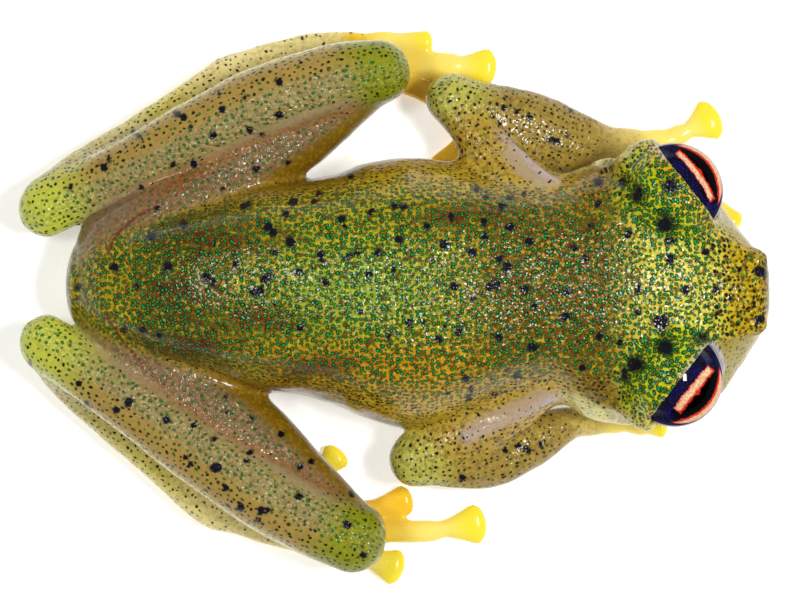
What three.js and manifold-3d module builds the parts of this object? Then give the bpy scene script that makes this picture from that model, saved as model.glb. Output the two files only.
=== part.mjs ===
// A glass frog at rest, life size, crouching with all four limbs folded.
// Millimetres. +X runs out through the snout, +Y is the animal's left, +Z is up.
// The floor is z = 0 and the origin lies under the middle of the whole animal.

import * as THREE from 'three';
import { ParametricGeometry } from 'three/addons/geometries/ParametricGeometry.js';
import { mergeVertices } from 'three/addons/utils/BufferGeometryUtils.js';
import Module from 'manifold-3d';

const wasm = await Module();
wasm.setup();

// Driving dimensions
const GAP = 0.3; // left between two nodes where they meet
const NECK_X = 6.7; // the neck's parting plane
const REAR_CAP = 0.42; // how far the rump rounds off behind its last section
const SNOUT_CAP = 0.3; // how far the snout rounds off in front of its last section
const EYE_RADIUS = 1.95;
const EYE_X = 11.2;
const EYE_Z = 4.55;
const EYE_SPREAD = 3.72; // from the head's midline to each eye's centre
const EYE_MIDLINE = 0.88;
const GAZE = THREE.MathUtils.degToRad(38); // how far each eye looks out from straight ahead
const LID_PLANE = 0.6; // the lids' opening, out from the eye's centre along the gaze
const LID_THICKNESS = 0.16;
const LID_RIM = 0.2; // radius of the rolled edge round the opening
const LID_RIM_OUT = 0.05; // how far the rolled edge's middle lies outside the ball
const DIGIT_HALF_HEIGHT = 0.32;
const DISC_HALF_HEIGHT = 0.3;
const NECK_SHARE = 0.45; // where a digit is thinnest, along the way to its disc
const NECK_WIDTH = 0.86; // its width and height there, as shares of the shaft's
const NECK_HEIGHT = 0.9;
const DISC_CAP = 0.6; // how far the disc reaches past its widest line, as a share of its half width
const DISC_AHEAD = 0.3; // how far that line lies past the path's end, as the same share
const PRESSED = 0.03; // how far soft undersides flatten against the floor
const WEB_THICKNESS = 0.5;
const MOUTH_CORNER_X = 9.5; // where the line of the mouth ends, below the back of the eye
const MOUTH_GROOVE = 0.13; // radius of the groove between the lips
const MOUTH_FRONT_RISE = 0.1; // how far the line rises below the snout
const NOSTRIL_X = 14.5;
const NOSTRIL_SPREAD = 1.36; // from the midline, at the front end of the canthus
const NOSTRIL_Z = 4.2;
const NOSTRIL_SWELLING = 0.3;
const NOSTRIL_PIT = 0.13;
const NOSTRIL_PIT_OUT = 0.25; // the pit's place on the swelling: out to the side, then ahead and up
const NOSTRIL_PIT_AHEAD = 0.1;
const NOSTRIL_MIDLINE = 0.62;
const HEAD_MIDLINE = 0.76; // at the eardrums
const EARDRUM_X = 8.5;
const EARDRUM_SPREAD = 4.9;
const EARDRUM_Z = 3.65;
const EARDRUM_RADIUS = 0.5;
const EARDRUM_RIM = 0.11;
const EARDRUM_FACING = [-0.15, 0.93, 0.33]; // on the left side; mirrored on the right
const LEAN_LEVEL = 3; // height at which the midline's place is given
const ANKLE_SETBACK = 0.4; // the joint's parting plane, back from the last row of the segment
const WRIST_SETBACK = 0.2;

// Facets round and along each kind of form
const BODY_FACETS = [28, 38];
const LIMB_FACETS = [14, 14];
const DIGIT_FACETS = [8, 11];
const EYE_FACETS = [20, 14];
const SMALL_FACETS = [10, 8];
const RIM_FACETS = [6, 24];
const EARDRUM_FACETS = [5, 14];
const MOUTH_STEPS = 30;
const RINGS_PER_CAP = 3;

// Sections of the body from rump to snout. Each row is: place along X, midline Y at the lean level, how
// far the midline leans with height, belly Z, then half width and Z of the lower side, of the widest
// line (the lip, on the head) and of the upper edge (the canthus, on the head), and the crown Z.
const BODY = [
  [-12.74, 0.86, 0.0, 1.1, 0.9, 1.4, 1.45, 2.3, 0.95, 3.2, 3.5],
  [-11.7, 0.86, 0.0, 0.4, 1.6, 0.75, 2.25, 2.3, 1.45, 4.1, 4.5],
  [-10.4, 0.84, 0.0, 0.0, 2.1, 0.35, 2.75, 2.3, 1.75, 4.85, 5.3],
  [-8.8, 0.8, 0.0, -0.03, 2.6, 0.25, 3.2, 2.4, 2.15, 5.45, 5.95],
  [-7.1, 0.78, 0.0, -0.04, 3.0, 0.2, 3.65, 2.5, 2.5, 5.8, 6.45],
  [-5.4, 0.77, 0.0, -0.04, 3.3, 0.2, 4.1, 2.6, 2.8, 6.1, 6.85],
  [-3.8, 0.76, 0.0, -0.04, 3.5, 0.2, 4.3, 2.7, 3.0, 6.25, 7.1],
  [-2.4, 0.7, 0.0, -0.04, 3.7, 0.2, 4.6, 2.75, 3.2, 6.35, 7.25],
  [-1.2, 0.66, 0.0, -0.04, 4.0, 0.2, 5.1, 2.8, 3.45, 6.4, 7.3],
  [0.5, 0.58, 0.0, -0.04, 4.1, 0.25, 5.4, 2.9, 3.55, 6.35, 7.25],
  [2.2, 0.63, 0.0, -0.02, 4.0, 0.3, 5.2, 3.0, 3.45, 6.15, 7.1],
  [4.2, 0.76, 0.0, 0.2, 3.5, 0.6, 4.55, 3.1, 3.2, 5.85, 6.75],
  [6.2, 0.8, 0.05, 0.6, 3.3, 1.05, 4.2, 3.0, 3.0, 5.5, 6.4],
  [7.5, 0.66, 0.12, 0.85, 3.8, 1.3, 4.95, 2.85, 3.3, 5.35, 6.25],
  [8.9, 0.66, 0.15, 1.0, 4.2, 1.45, 5.3, 2.6, 3.6, 5.2, 6.15],
  [10.3, 0.66, 0.15, 1.05, 4.1, 1.5, 5.3, 2.45, 3.5, 5.1, 6.0],
  [11.7, 0.58, 0.15, 1.1, 3.6, 1.5, 4.9, 2.35, 3.0, 4.9, 5.75],
  [12.86, 0.4, 0.15, 1.2, 2.9, 1.6, 4.05, 2.3, 2.45, 4.65, 5.35],
  [13.8, 0.4, 0.15, 1.4, 1.95, 1.75, 2.84, 2.3, 1.86, 4.45, 5.0],
  [14.45, 0.42, 0.15, 1.65, 1.25, 1.9, 1.86, 2.4, 1.52, 4.3, 4.7],
  [14.74, 0.46, 0.15, 2.1, 0.95, 2.25, 1.4, 2.7, 1.4, 4.15, 4.45],
];

// Limb segments. Each row is a point of the centre line, then the half width and half height there.
const LIMBS = {
  left: {
    shank: [
      [-0.66, 9.44, 3.05, 1.28, 1.3],
      [-2.3, 9.12, 3.15, 1.42, 1.42],
      [-5.12, 8.2, 3.2, 1.52, 1.5],
      [-7.76, 6.95, 3.0, 1.42, 1.42],
      [-10.2, 5.68, 2.55, 1.26, 1.25],
      [-12.4, 4.64, 2.15, 1.1, 1.1],
      [-13.95, 3.92, 1.95, 1.1, 1.05],
    ],
    thigh: [
      [-11.1, 2.5, 2.35, 1.6, 1.95],
      [-8.96, 3.8, 2.35, 1.8, 1.85],
      [-6.56, 5.4, 2.3, 1.72, 1.75],
      [-3.9, 7.1, 2.3, 1.6, 1.55],
      [-1.6, 8.6, 2.45, 1.18, 1.3],
      [-0.5, 9.28, 2.55, 1.05, 1.15],
    ],
    tarsus: [
      [-13.7, 4.3, 1.35, 0.95, 0.95],
      [-12.6, 5.4, 1.15, 0.85, 0.9],
      [-10.92, 6.48, 1.0, 0.8, 0.85],
      [-9.12, 7.64, 0.92, 0.78, 0.82],
      [-7.3, 8.78, 0.86, 0.86, 0.84],
      [-6.3, 9.2, 0.82, 0.9, 0.82],
    ],
    metatarsus: [
      [-6.6, 9.1, 0.78, 0.9, 0.8],
      [-4.9, 9.62, 0.6, 1.02, 0.62],
      [-3.0, 9.9, 0.47, 1.15, 0.5],
      [-1.8, 9.96, 0.4, 1.1, 0.43],
    ],
    upper_arm: [
      [5.7, 4.2, 2.9, 1.3, 1.15],
      [4.16, 5.88, 2.8, 1.06, 1.0],
      [2.9, 7.3, 2.6, 0.8, 0.92],
      [2.24, 8.3, 2.4, 0.84, 0.92],
    ],
    forearm: [
      [2.28, 8.4, 2.35, 0.9, 0.92],
      [3.84, 7.84, 2.1, 1.14, 1.05],
      [5.44, 7.2, 1.8, 1.44, 1.05],
      [6.84, 6.68, 1.45, 1.36, 0.92],
      [8.24, 6.44, 1.05, 1.0, 0.7],
      [9.4, 6.46, 0.7, 0.62, 0.5],
    ],
    palm: [
      [9.3, 6.48, 0.6, 0.62, 0.5],
      [10.44, 6.28, 0.4, 0.85, 0.42],
    ],
  },
  right: {
    shank: [
      [-1.66, -9.3, 3.05, 1.34, 1.3],
      [-3.3, -8.5, 3.15, 1.46, 1.42],
      [-5.36, -7.3, 3.2, 1.52, 1.5],
      [-8.12, -5.4, 3.0, 1.48, 1.44],
      [-10.2, -3.95, 2.95, 1.34, 1.28],
      [-12.36, -2.5, 2.7, 1.18, 1.14],
      [-13.93, -1.42, 2.3, 1.1, 1.05],
    ],
    thigh: [
      [-11.2, -0.95, 2.0, 1.45, 1.6],
      [-8.96, -2.72, 2.2, 1.7, 1.75],
      [-5.96, -5.12, 2.3, 1.7, 1.75],
      [-3.76, -6.96, 2.3, 1.34, 1.5],
      [-1.96, -8.44, 2.45, 1.02, 1.28],
      [-1.4, -8.9, 2.55, 1.02, 1.12],
    ],
    tarsus: [
      [-13.7, -1.9, 1.35, 0.95, 0.95],
      [-13.1, -2.9, 1.15, 0.85, 0.9],
      [-11.92, -4.04, 1.0, 0.8, 0.85],
      [-9.48, -6.2, 0.9, 0.78, 0.82],
      [-7.9, -7.5, 0.86, 0.86, 0.84],
      [-7.1, -7.95, 0.82, 0.9, 0.82],
    ],
    metatarsus: [
      [-7.3, -7.85, 0.78, 0.9, 0.8],
      [-5.56, -8.35, 0.6, 1.02, 0.62],
      [-3.76, -8.75, 0.47, 1.12, 0.5],
      [-2.5, -9.0, 0.4, 1.1, 0.43],
    ],
    upper_arm: [
      [5.6, -3.0, 2.9, 1.2, 1.1],
      [4.24, -4.4, 2.8, 1.04, 1.0],
      [2.3, -5.45, 2.6, 0.92, 0.92],
      [0.86, -6.16, 2.4, 0.92, 0.92],
    ],
    forearm: [
      [0.86, -6.12, 2.35, 0.94, 0.92],
      [2.44, -6.1, 2.1, 1.18, 1.05],
      [4.04, -5.84, 1.8, 1.34, 1.05],
      [5.64, -5.28, 1.45, 1.06, 0.92],
      [7.04, -4.68, 1.05, 0.68, 0.66],
      [7.84, -4.6, 0.7, 0.5, 0.48],
    ],
    palm: [
      [7.8, -4.56, 0.6, 0.52, 0.48],
      [8.8, -4.36, 0.4, 0.74, 0.42],
    ],
  },
};

// Digits from the innermost outwards. Each is its path over the floor, the half width of its shaft
// and the half width of its disc.
const FINGERS = {
  left: [
    { path: [[9.9, 6.1], [10.4, 4.7], [10.72, 3.7]], shaft: 0.34, disc: 0.46 },
    { path: [[10.3, 6.0], [11.5, 4.6], [12.24, 3.4]], shaft: 0.34, disc: 0.5 },
    { path: [[10.5, 6.1], [12.2, 4.9], [13.42, 3.5]], shaft: 0.36, disc: 0.58 },
    { path: [[10.3, 6.5], [11.5, 6.94], [12.42, 7.4]], shaft: 0.4, disc: 0.84 },
  ],
  right: [
    { path: [[8.5, -4.1], [9.3, -3.0], [9.84, -2.2]], shaft: 0.34, disc: 0.46 },
    { path: [[8.9, -4.2], [10.3, -3.3], [11.4, -2.7]], shaft: 0.34, disc: 0.5 },
    { path: [[9.0, -4.3], [10.9, -3.95], [12.2, -3.6]], shaft: 0.36, disc: 0.56 },
    { path: [[8.9, -4.5], [9.9, -4.82], [10.6, -4.82]], shaft: 0.34, disc: 0.46 },
  ],
};
const TOES = {
  left: [
    { path: [[-4.6, 9.2], [-3.9, 8.1], [-3.36, 7.4]], shaft: 0.34, disc: 0.46 },
    { path: [[-3.6, 9.4], [-2.5, 8.7], [-1.56, 8.1]], shaft: 0.36, disc: 0.5 },
    { path: [[-2.2, 9.5], [0.2, 9.04], [1.8, 8.3], [2.9, 7.1], [2.26, 5.84]], shaft: 0.38, disc: 0.76 },
    { path: [[-2.2, 9.95], [0.3, 9.84], [2.2, 9.72], [3.44, 9.66]], shaft: 0.5, disc: 0.76 },
    { path: [[-2.6, 10.3], [-0.6, 10.64], [1.16, 10.68]], shaft: 0.44, disc: 0.44 },
  ],
  right: [
    { path: [[-5.3, -8.1], [-5.0, -7.2], [-4.76, -6.5]], shaft: 0.34, disc: 0.46 },
    { path: [[-4.4, -8.3], [-3.3, -7.1], [-2.48, -6.16]], shaft: 0.36, disc: 0.6 },
    { path: [[-3.0, -8.7], [-1.2, -8.25], [0.2, -7.84]], shaft: 0.44, disc: 0.62 },
    { path: [[-2.6, -9.0], [0.2, -9.04], [1.44, -9.02], [3.0, -8.78]], shaft: 0.44, disc: 0.8 },
    { path: [[-2.9, -9.4], [-1.5, -10.0], [-0.24, -10.4]], shaft: 0.44, disc: 0.72 },
  ],
};

// Outlines of the webs between the outer toes, and of the narrow one between the outer fingers.
const WEBS = {
  left: {
    foot: [
      [[-2.6, 9.9], [0.0, 9.8], [1.9, 9.6], [1.5, 8.6], [0.2, 9.0], [-2.4, 9.5]],
      [[-2.6, 10.2], [-0.4, 10.5], [0.9, 10.55], [1.5, 9.9], [0.2, 9.8], [-2.4, 9.9]],
    ],
    hand: [[[10.2, 6.5], [11.2, 6.8], [11.3, 6.1], [11.2, 5.6], [10.4, 6.0]]],
  },
  right: {
    foot: [
      [[-3.0, -8.8], [-1.0, -8.3], [0.1, -8.1], [0.6, -8.9], [0.2, -9.0], [-2.8, -9.0]],
      [[-3.0, -9.3], [-1.6, -9.9], [-0.6, -9.8], [-0.3, -9.2], [-0.5, -9.0], [-2.8, -9.0]],
    ],
    hand: [[[8.8, -4.5], [9.6, -4.6], [9.9, -4.3], [9.7, -4.1], [8.9, -4.2]]],
  },
};

// Reads rows of numbers as smooth columns: at t = 0 the first row, at t = 1 the last.
function smoothRows(rows) {
  const columns = rows[0].map((_, k) => new THREE.SplineCurve(
    rows.map((row, i) => new THREE.Vector2(i, row[k]))));
  return (t) => columns.map((column) => column.getPoint(t).y);
}

// Splits v into a rounded start, a middle and a rounded end. Gives the place along the middle, how
// far past its end the ring lies, as a share of the cap's length, and the ring's share of full size.
function capped(v, share) {
  if (v < share) {
    const angle = (v / share) * Math.PI / 2;
    return { t: 0, past: -Math.cos(angle), scale: Math.sin(angle) };
  }
  if (v > 1 - share) {
    const angle = ((1 - v) / share) * Math.PI / 2;
    return { t: 1, past: Math.cos(angle), scale: Math.sin(angle) };
  }
  return { t: (v - share) / (1 - 2 * share), past: 0, scale: 1 };
}

// A limb: an ellipse carried along the centre line, upright, with both ends rounded.
function limbGeometry(rows, [around, along], startCap = rows[0][3], endCap = rows.at(-1)[3]) {
  const at = smoothRows(rows);
  const capShare = RINGS_PER_CAP / along;
  const step = 0.001;
  return new ParametricGeometry((u, v, target) => {
    const { t, past, scale } = capped(v, capShare);
    const [x, y, z, halfWidth, halfHeight] = at(t);
    const before = at(Math.max(t - step, 0));
    const after = at(Math.min(t + step, 1));
    const forward = new THREE.Vector3(
      after[0] - before[0], after[1] - before[1], after[2] - before[2]).normalize();
    const side = new THREE.Vector3(0, 0, 1).cross(forward).normalize();
    const up = forward.clone().cross(side);
    const angle = u * 2 * Math.PI;
    const cap = past < 0 ? startCap : endCap;
    target.set(x, y, z)
      .addScaledVector(forward, past * cap)
      .addScaledVector(side, Math.cos(angle) * halfWidth * scale)
      .addScaledVector(up, Math.sin(angle) * halfHeight * scale);
  }, around, along);
}

// The trunk and head: a closed smooth section through eight points, carried from rump to snout.
function bodyGeometry([around, along]) {
  const at = smoothRows(BODY);
  const capShare = RINGS_PER_CAP / along;
  const sections = new Map();
  const section = (t) => {
    if (!sections.has(t)) {
      const [x, mid, lean, belly, lowW, lowZ, wideW, wideZ, upW, upZ, crown] = at(t);
      const ring = [[0, belly], [lowW, lowZ], [wideW, wideZ], [upW, upZ], [0, crown],
        [-upW, upZ], [-wideW, wideZ], [-lowW, lowZ]];
      sections.set(t, {
        x,
        centre: new THREE.Vector3(0, mid, (belly + crown) / 2),
        ring: new THREE.CatmullRomCurve3(
          ring.map(([w, z]) => new THREE.Vector3(0, mid + lean * (z - LEAN_LEVEL) + w, z)),
          true, 'centripetal'),
      });
    }
    return sections.get(t);
  };
  return new ParametricGeometry((u, v, target) => {
    const { t, past, scale } = capped(v, capShare);
    const { x, centre, ring } = section(t);
    const cap = past < 0 ? REAR_CAP : SNOUT_CAP;
    target.copy(centre).lerp(ring.getPoint(u % 1), scale);
    target.x = x + past * cap;
  }, around, along);
}

// A tube of even thickness along a curve, closed at both ends.
function tubeGeometry(points, radius, steps) {
  const section = new THREE.Shape();
  section.absarc(0, 0, radius, 0, Math.PI * 2, false);
  return new THREE.ExtrudeGeometry(section, {
    steps,
    curveSegments: 6,
    bevelEnabled: false,
    extrudePath: new THREE.CatmullRomCurve3(points, false, 'centripetal'),
  });
}

// The lips' line, from the left corner of the mouth round the snout to the right corner: the widest
// line of every section of the head, with one point at the front.
function mouthLine() {
  const rows = BODY.filter(([x]) => x > NECK_X);
  const at = smoothRows(rows);
  const lip = (row, sign) => {
    const [x, mid, lean, , , , wideW, wideZ] = row;
    return new THREE.Vector3(x, mid + lean * (wideZ - LEAN_LEVEL) + sign * wideW, wideZ);
  };
  const corner = (MOUTH_CORNER_X - rows[0][0]) / (rows.at(-1)[0] - rows[0][0]);
  const shares = [0, 0.3, 0.55, 0.75, 0.9, 1].map((share) => corner + (1 - corner) * share);
  const left = shares.map((t) => lip(at(t), 1));
  const right = shares.map((t) => lip(at(t), -1)).reverse();
  const [x, mid, lean, , , , , wideZ] = rows.at(-1);
  const front = new THREE.Vector3(
    x + SNOUT_CAP, mid + lean * (wideZ - LEAN_LEVEL), wideZ + MOUTH_FRONT_RISE);
  return [...left, front, ...right];
}

// A digit: a shaft that narrows to a neck and spreads into a round disc, lying on the floor.
function digitGeometry({ path, shaft, disc }) {
  const last = path.length - 1;
  const rows = path.map(([x, y], i) => {
    const half = i === last ? DISC_HALF_HEIGHT : DIGIT_HALF_HEIGHT;
    return [x, y, half - PRESSED, i === last ? disc : shaft, half];
  });
  const [xa, ya] = path[last - 1];
  const [xb, yb] = path[last];
  const ahead = disc * DISC_AHEAD / Math.hypot(xb - xa, yb - ya);
  rows[last][0] += (xb - xa) * ahead;
  rows[last][1] += (yb - ya) * ahead;
  const neckHalf = DIGIT_HALF_HEIGHT * NECK_HEIGHT;
  rows.splice(last, 0, [xa + (xb - xa) * NECK_SHARE, ya + (yb - ya) * NECK_SHARE,
    neckHalf - PRESSED, shaft * NECK_WIDTH, neckHalf]);
  return limbGeometry(rows, DIGIT_FACETS, shaft, disc * DISC_CAP);
}

// A web: a flat sheet between two digits, resting on the floor.
function webGeometry(outline) {
  const shape = new THREE.Shape(outline.map(([x, y]) => new THREE.Vector2(x, y)));
  return new THREE.ExtrudeGeometry(shape, { depth: WEB_THICKNESS, bevelEnabled: false });
}

// Keeps position only, merges shared corners and drops the empty triangles at the poles.
function welded(geometry) {
  const bare = new THREE.BufferGeometry();
  bare.setAttribute('position', geometry.getAttribute('position').clone());
  if (geometry.index) {
    bare.setIndex(geometry.index.clone());
  }
  const merged = mergeVertices(bare, 1e-4);
  const corners = merged.index.array;
  const kept = [];
  for (let i = 0; i < corners.length; i += 3) {
    const [a, b, c] = [corners[i], corners[i + 1], corners[i + 2]];
    if (a !== b && b !== c && c !== a) {
      kept.push(a, b, c);
    }
  }
  merged.setIndex(kept);
  return merged;
}

// Moves every corner out along its normal, so that a cut by the result leaves an even gap.
function swollen(geometry, by) {
  const grown = welded(geometry);
  grown.computeVertexNormals();
  const position = grown.getAttribute('position');
  const normal = grown.getAttribute('normal');
  const outward = signedVolume(grown) > 0 ? by : -by;
  for (let i = 0; i < position.count; i += 1) {
    position.setXYZ(i,
      position.getX(i) + normal.getX(i) * outward,
      position.getY(i) + normal.getY(i) * outward,
      position.getZ(i) + normal.getZ(i) * outward);
  }
  return grown;
}

function signedVolume(geometry) {
  const position = geometry.getAttribute('position');
  const corners = geometry.index.array;
  const a = new THREE.Vector3();
  const b = new THREE.Vector3();
  const c = new THREE.Vector3();
  let volume = 0;
  for (let i = 0; i < corners.length; i += 3) {
    a.fromBufferAttribute(position, corners[i]);
    b.fromBufferAttribute(position, corners[i + 1]);
    c.fromBufferAttribute(position, corners[i + 2]);
    volume += a.dot(b.cross(c)) / 6;
  }
  return volume;
}

// Turns a closed geometry into a solid that can be joined and cut.
function solidOf(geometry) {
  const bare = welded(geometry);
  const triangles = Uint32Array.from(bare.index.array);
  if (signedVolume(bare) < 0) {
    for (let i = 0; i < triangles.length; i += 3) {
      [triangles[i], triangles[i + 1]] = [triangles[i + 1], triangles[i]];
    }
  }
  return new wasm.Manifold(new wasm.Mesh({
    numProp: 3,
    vertProperties: Float32Array.from(bare.getAttribute('position').array),
    triVerts: triangles,
  }));
}

// Half of space as a big box, whose face passes through a point, on the side of the normal.
function halfSpace(point, normal) {
  const reach = 60;
  const box = new THREE.BoxGeometry(reach, reach, reach);
  box.translate(0, 0, reach / 2);
  box.applyQuaternion(new THREE.Quaternion().setFromUnitVectors(
    new THREE.Vector3(0, 0, 1), normal.clone().normalize()));
  box.translate(point.x, point.y, point.z);
  return solidOf(box);
}

// The largest closed surface of a solid, back as a geometry.
function geometryOf(solid) {
  const largest = solid.decompose().reduce((a, b) => (a.volume() > b.volume() ? a : b));
  const { vertProperties, triVerts } = largest.getMesh();
  const geometry = new THREE.BufferGeometry();
  geometry.setAttribute('position', new THREE.BufferAttribute(vertProperties, 3));
  geometry.setIndex(new THREE.BufferAttribute(triVerts, 1));
  return geometry;
}

const join = (solids) => solids.reduce((all, solid) => all.add(solid));
const cut = (solid, tools) => tools.reduce((rest, tool) => rest.subtract(tool), solid);

const skinTop = new THREE.MeshStandardMaterial({ color: 0x6a6f2c, roughness: 0.35, metalness: 0 });
const skinLimb = new THREE.MeshStandardMaterial({ color: 0x86794a, roughness: 0.4, metalness: 0 });
const skinDigit = new THREE.MeshStandardMaterial({ color: 0xf2c62e, roughness: 0.35, metalness: 0 });
const eyeball = new THREE.MeshStandardMaterial({ color: 0x10122e, roughness: 0.08, metalness: 0 });

const frog = new THREE.Group();
function place(name, solid, material) {
  const mesh = new THREE.Mesh(geometryOf(solid), material);
  mesh.name = name;
  frog.add(mesh);
}

// Trunk and head share one form, parted by a thin upright cut at the neck.
const up = new THREE.Vector3(0, 0, 1);
const ahead = new THREE.Vector3(1, 0, 0);
const underFloor = halfSpace(new THREE.Vector3(0, 0, 0), up.clone().negate());
const bodyForm = bodyGeometry(BODY_FACETS);
const bodySolid = cut(solidOf(bodyForm), [underFloor]);
const bodyRoom = solidOf(swollen(bodyForm, GAP));
place('torso', cut(bodySolid, [halfSpace(new THREE.Vector3(NECK_X, 0, 0), ahead)]), skinTop);

// Each eye is the part of its ball that stands out of the lids. The upper lid is a dome over the
// rest of the ball, and a rolled edge rings the opening.
const headAdds = [];
const headCuts = [
  halfSpace(new THREE.Vector3(NECK_X + GAP, 0, 0), ahead.clone().negate()),
  solidOf(tubeGeometry(mouthLine(), MOUTH_GROOVE, MOUTH_STEPS)),
];
const smallBall = (radius, x, y, z) => solidOf(
  new THREE.SphereGeometry(radius, ...SMALL_FACETS).translate(x, y, z));
for (const [side, sign] of [['left', 1], ['right', -1]]) {
  const centre = new THREE.Vector3(EYE_X, EYE_MIDLINE + sign * EYE_SPREAD, EYE_Z);
  const gaze = new THREE.Vector3(Math.cos(GAZE), sign * Math.sin(GAZE), 0);
  const ball = (radius) => {
    const sphere = new THREE.SphereGeometry(radius, ...EYE_FACETS);
    sphere.rotateX(Math.PI / 2);
    return solidOf(sphere.translate(centre.x, centre.y, centre.z));
  };
  const behind = (distance) => halfSpace(
    centre.clone().addScaledVector(gaze, distance), gaze.clone().negate());
  const beyond = (distance) => halfSpace(centre.clone().addScaledVector(gaze, distance), gaze);
  place(`eye_${side}`, cut(ball(EYE_RADIUS), [behind(LID_PLANE)]), eyeball);

  const lid = cut(ball(EYE_RADIUS + LID_THICKNESS), [beyond(LID_PLANE - GAP)]);
  const rim = new THREE.TorusGeometry(EYE_RADIUS + LID_RIM_OUT, LID_RIM, ...RIM_FACETS);
  rim.applyQuaternion(new THREE.Quaternion().setFromUnitVectors(up, gaze));
  const rimCentre = centre.clone().addScaledVector(gaze, LID_PLANE - GAP - LID_RIM);
  rim.translate(rimCentre.x, rimCentre.y, rimCentre.z);
  const nostrilY = NOSTRIL_MIDLINE + sign * NOSTRIL_SPREAD;
  headAdds.push(smallBall(NOSTRIL_SWELLING, NOSTRIL_X, nostrilY, NOSTRIL_Z));
  headCuts.push(smallBall(NOSTRIL_PIT, NOSTRIL_X + NOSTRIL_PIT_AHEAD,
    nostrilY + sign * NOSTRIL_PIT_OUT, NOSTRIL_Z + NOSTRIL_PIT_AHEAD));

  const eardrum = new THREE.TorusGeometry(EARDRUM_RADIUS, EARDRUM_RIM, ...EARDRUM_FACETS);
  const [facingX, facingY, facingZ] = EARDRUM_FACING;
  eardrum.applyQuaternion(new THREE.Quaternion().setFromUnitVectors(
    up, new THREE.Vector3(facingX, sign * facingY, facingZ).normalize()));
  eardrum.translate(EARDRUM_X, HEAD_MIDLINE + sign * EARDRUM_SPREAD, EARDRUM_Z);
  headAdds.push(solidOf(eardrum), lid, solidOf(rim));
  headCuts.push(cut(ball(EYE_RADIUS + GAP), [behind(LID_PLANE - GAP)]));
}
place('head', cut(join([bodySolid, ...headAdds]), headCuts), skinTop);

// The limbs, each segment cut clear of those that lie over it.
for (const side of ['left', 'right']) {
  const rows = LIMBS[side];
  const form = (name) => limbGeometry(rows[name], LIMB_FACETS);
  const solid = (name) => cut(solidOf(form(name)), [underFloor]);
  const room = (name) => solidOf(swollen(form(name), GAP));

  // A plane across a limb's end, facing on along the limb, to part it from the next segment.
  const across = (name, back) => {
    const last = new THREE.Vector3(...rows[name].at(-1).slice(0, 3));
    const along = last.clone().sub(new THREE.Vector3(...rows[name].at(-2).slice(0, 3)));
    along.z = 0;
    along.normalize();
    return [last.addScaledVector(along, -back), along];
  };

  const shankRoom = room('shank');
  const thighRoom = room('thigh');
  const [ankle, ankleWay] = across('tarsus', ANKLE_SETBACK);
  place(`shank_${side}`, cut(solid('shank'), [bodyRoom]), skinLimb);
  place(`thigh_${side}`, cut(solid('thigh'), [bodyRoom, shankRoom]), skinLimb);
  place(`tarsus_${side}`, cut(solid('tarsus'),
    [shankRoom, thighRoom, halfSpace(ankle, ankleWay)]), skinLimb);

  const footForms = [
    limbGeometry(rows.metatarsus, LIMB_FACETS),
    ...TOES[side].map(digitGeometry),
    ...WEBS[side].foot.map(webGeometry),
  ];
  const ankleFront = ankle.clone().addScaledVector(ankleWay, GAP);
  place(`foot_${side}`, cut(join(footForms.map(solidOf)), [
    shankRoom, thighRoom, underFloor, halfSpace(ankleFront, ankleWay.clone().negate())]), skinDigit);

  const upperArmRoom = room('upper_arm');
  const [wrist, wristWay] = across('forearm', WRIST_SETBACK);
  place(`upper_arm_${side}`, cut(solid('upper_arm'), [bodyRoom]), skinLimb);
  place(`forearm_${side}`, cut(solid('forearm'),
    [bodyRoom, upperArmRoom, halfSpace(wrist, wristWay)]), skinLimb);

  const handForms = [
    limbGeometry(rows.palm, LIMB_FACETS),
    ...FINGERS[side].map(digitGeometry),
    ...WEBS[side].hand.map(webGeometry),
  ];
  const wristFront = wrist.clone().addScaledVector(wristWay, GAP);
  place(`hand_${side}`, cut(join(handForms.map(solidOf)), [
    bodyRoom, underFloor, halfSpace(wristFront, wristWay.clone().negate())]), skinDigit);
}

export default frog;
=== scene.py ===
"""A glass frog at rest, life size: one moist skin over the whole body, and two separate eyes.

Forms are given in millimetres in the frame's own axes: +X runs out through the snout, +Y is the
animal's left, +Z is up, and the floor is z = 0. Meshes are scaled to metres as they are made.
"""

import bpy
import numpy as np
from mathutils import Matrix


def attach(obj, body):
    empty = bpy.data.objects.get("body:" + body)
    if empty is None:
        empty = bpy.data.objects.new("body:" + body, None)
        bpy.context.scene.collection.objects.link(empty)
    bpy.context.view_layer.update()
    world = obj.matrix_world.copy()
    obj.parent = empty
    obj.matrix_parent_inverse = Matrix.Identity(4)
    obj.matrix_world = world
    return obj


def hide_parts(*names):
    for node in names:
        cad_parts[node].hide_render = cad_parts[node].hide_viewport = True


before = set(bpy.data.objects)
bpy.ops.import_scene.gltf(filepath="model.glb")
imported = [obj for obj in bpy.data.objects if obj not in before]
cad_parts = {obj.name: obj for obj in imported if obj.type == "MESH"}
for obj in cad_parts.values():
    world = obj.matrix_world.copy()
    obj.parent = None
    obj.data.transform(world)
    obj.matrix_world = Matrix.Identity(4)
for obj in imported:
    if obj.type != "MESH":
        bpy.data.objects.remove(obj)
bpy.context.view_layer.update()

MM = 0.001
SIDES = (("left", 1.0), ("right", -1.0))

# Camera: straight down on the back, far off, so that near and far parts keep one scale
PHOTO_WIDTH = 803
PIXELS_PER_MM = 25.0
VIEW_MIDDLE = (0.3, 0.2, 3.65)
CAMERA_DISTANCE = 500.0
SENSOR_WIDTH = 36.0

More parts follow.
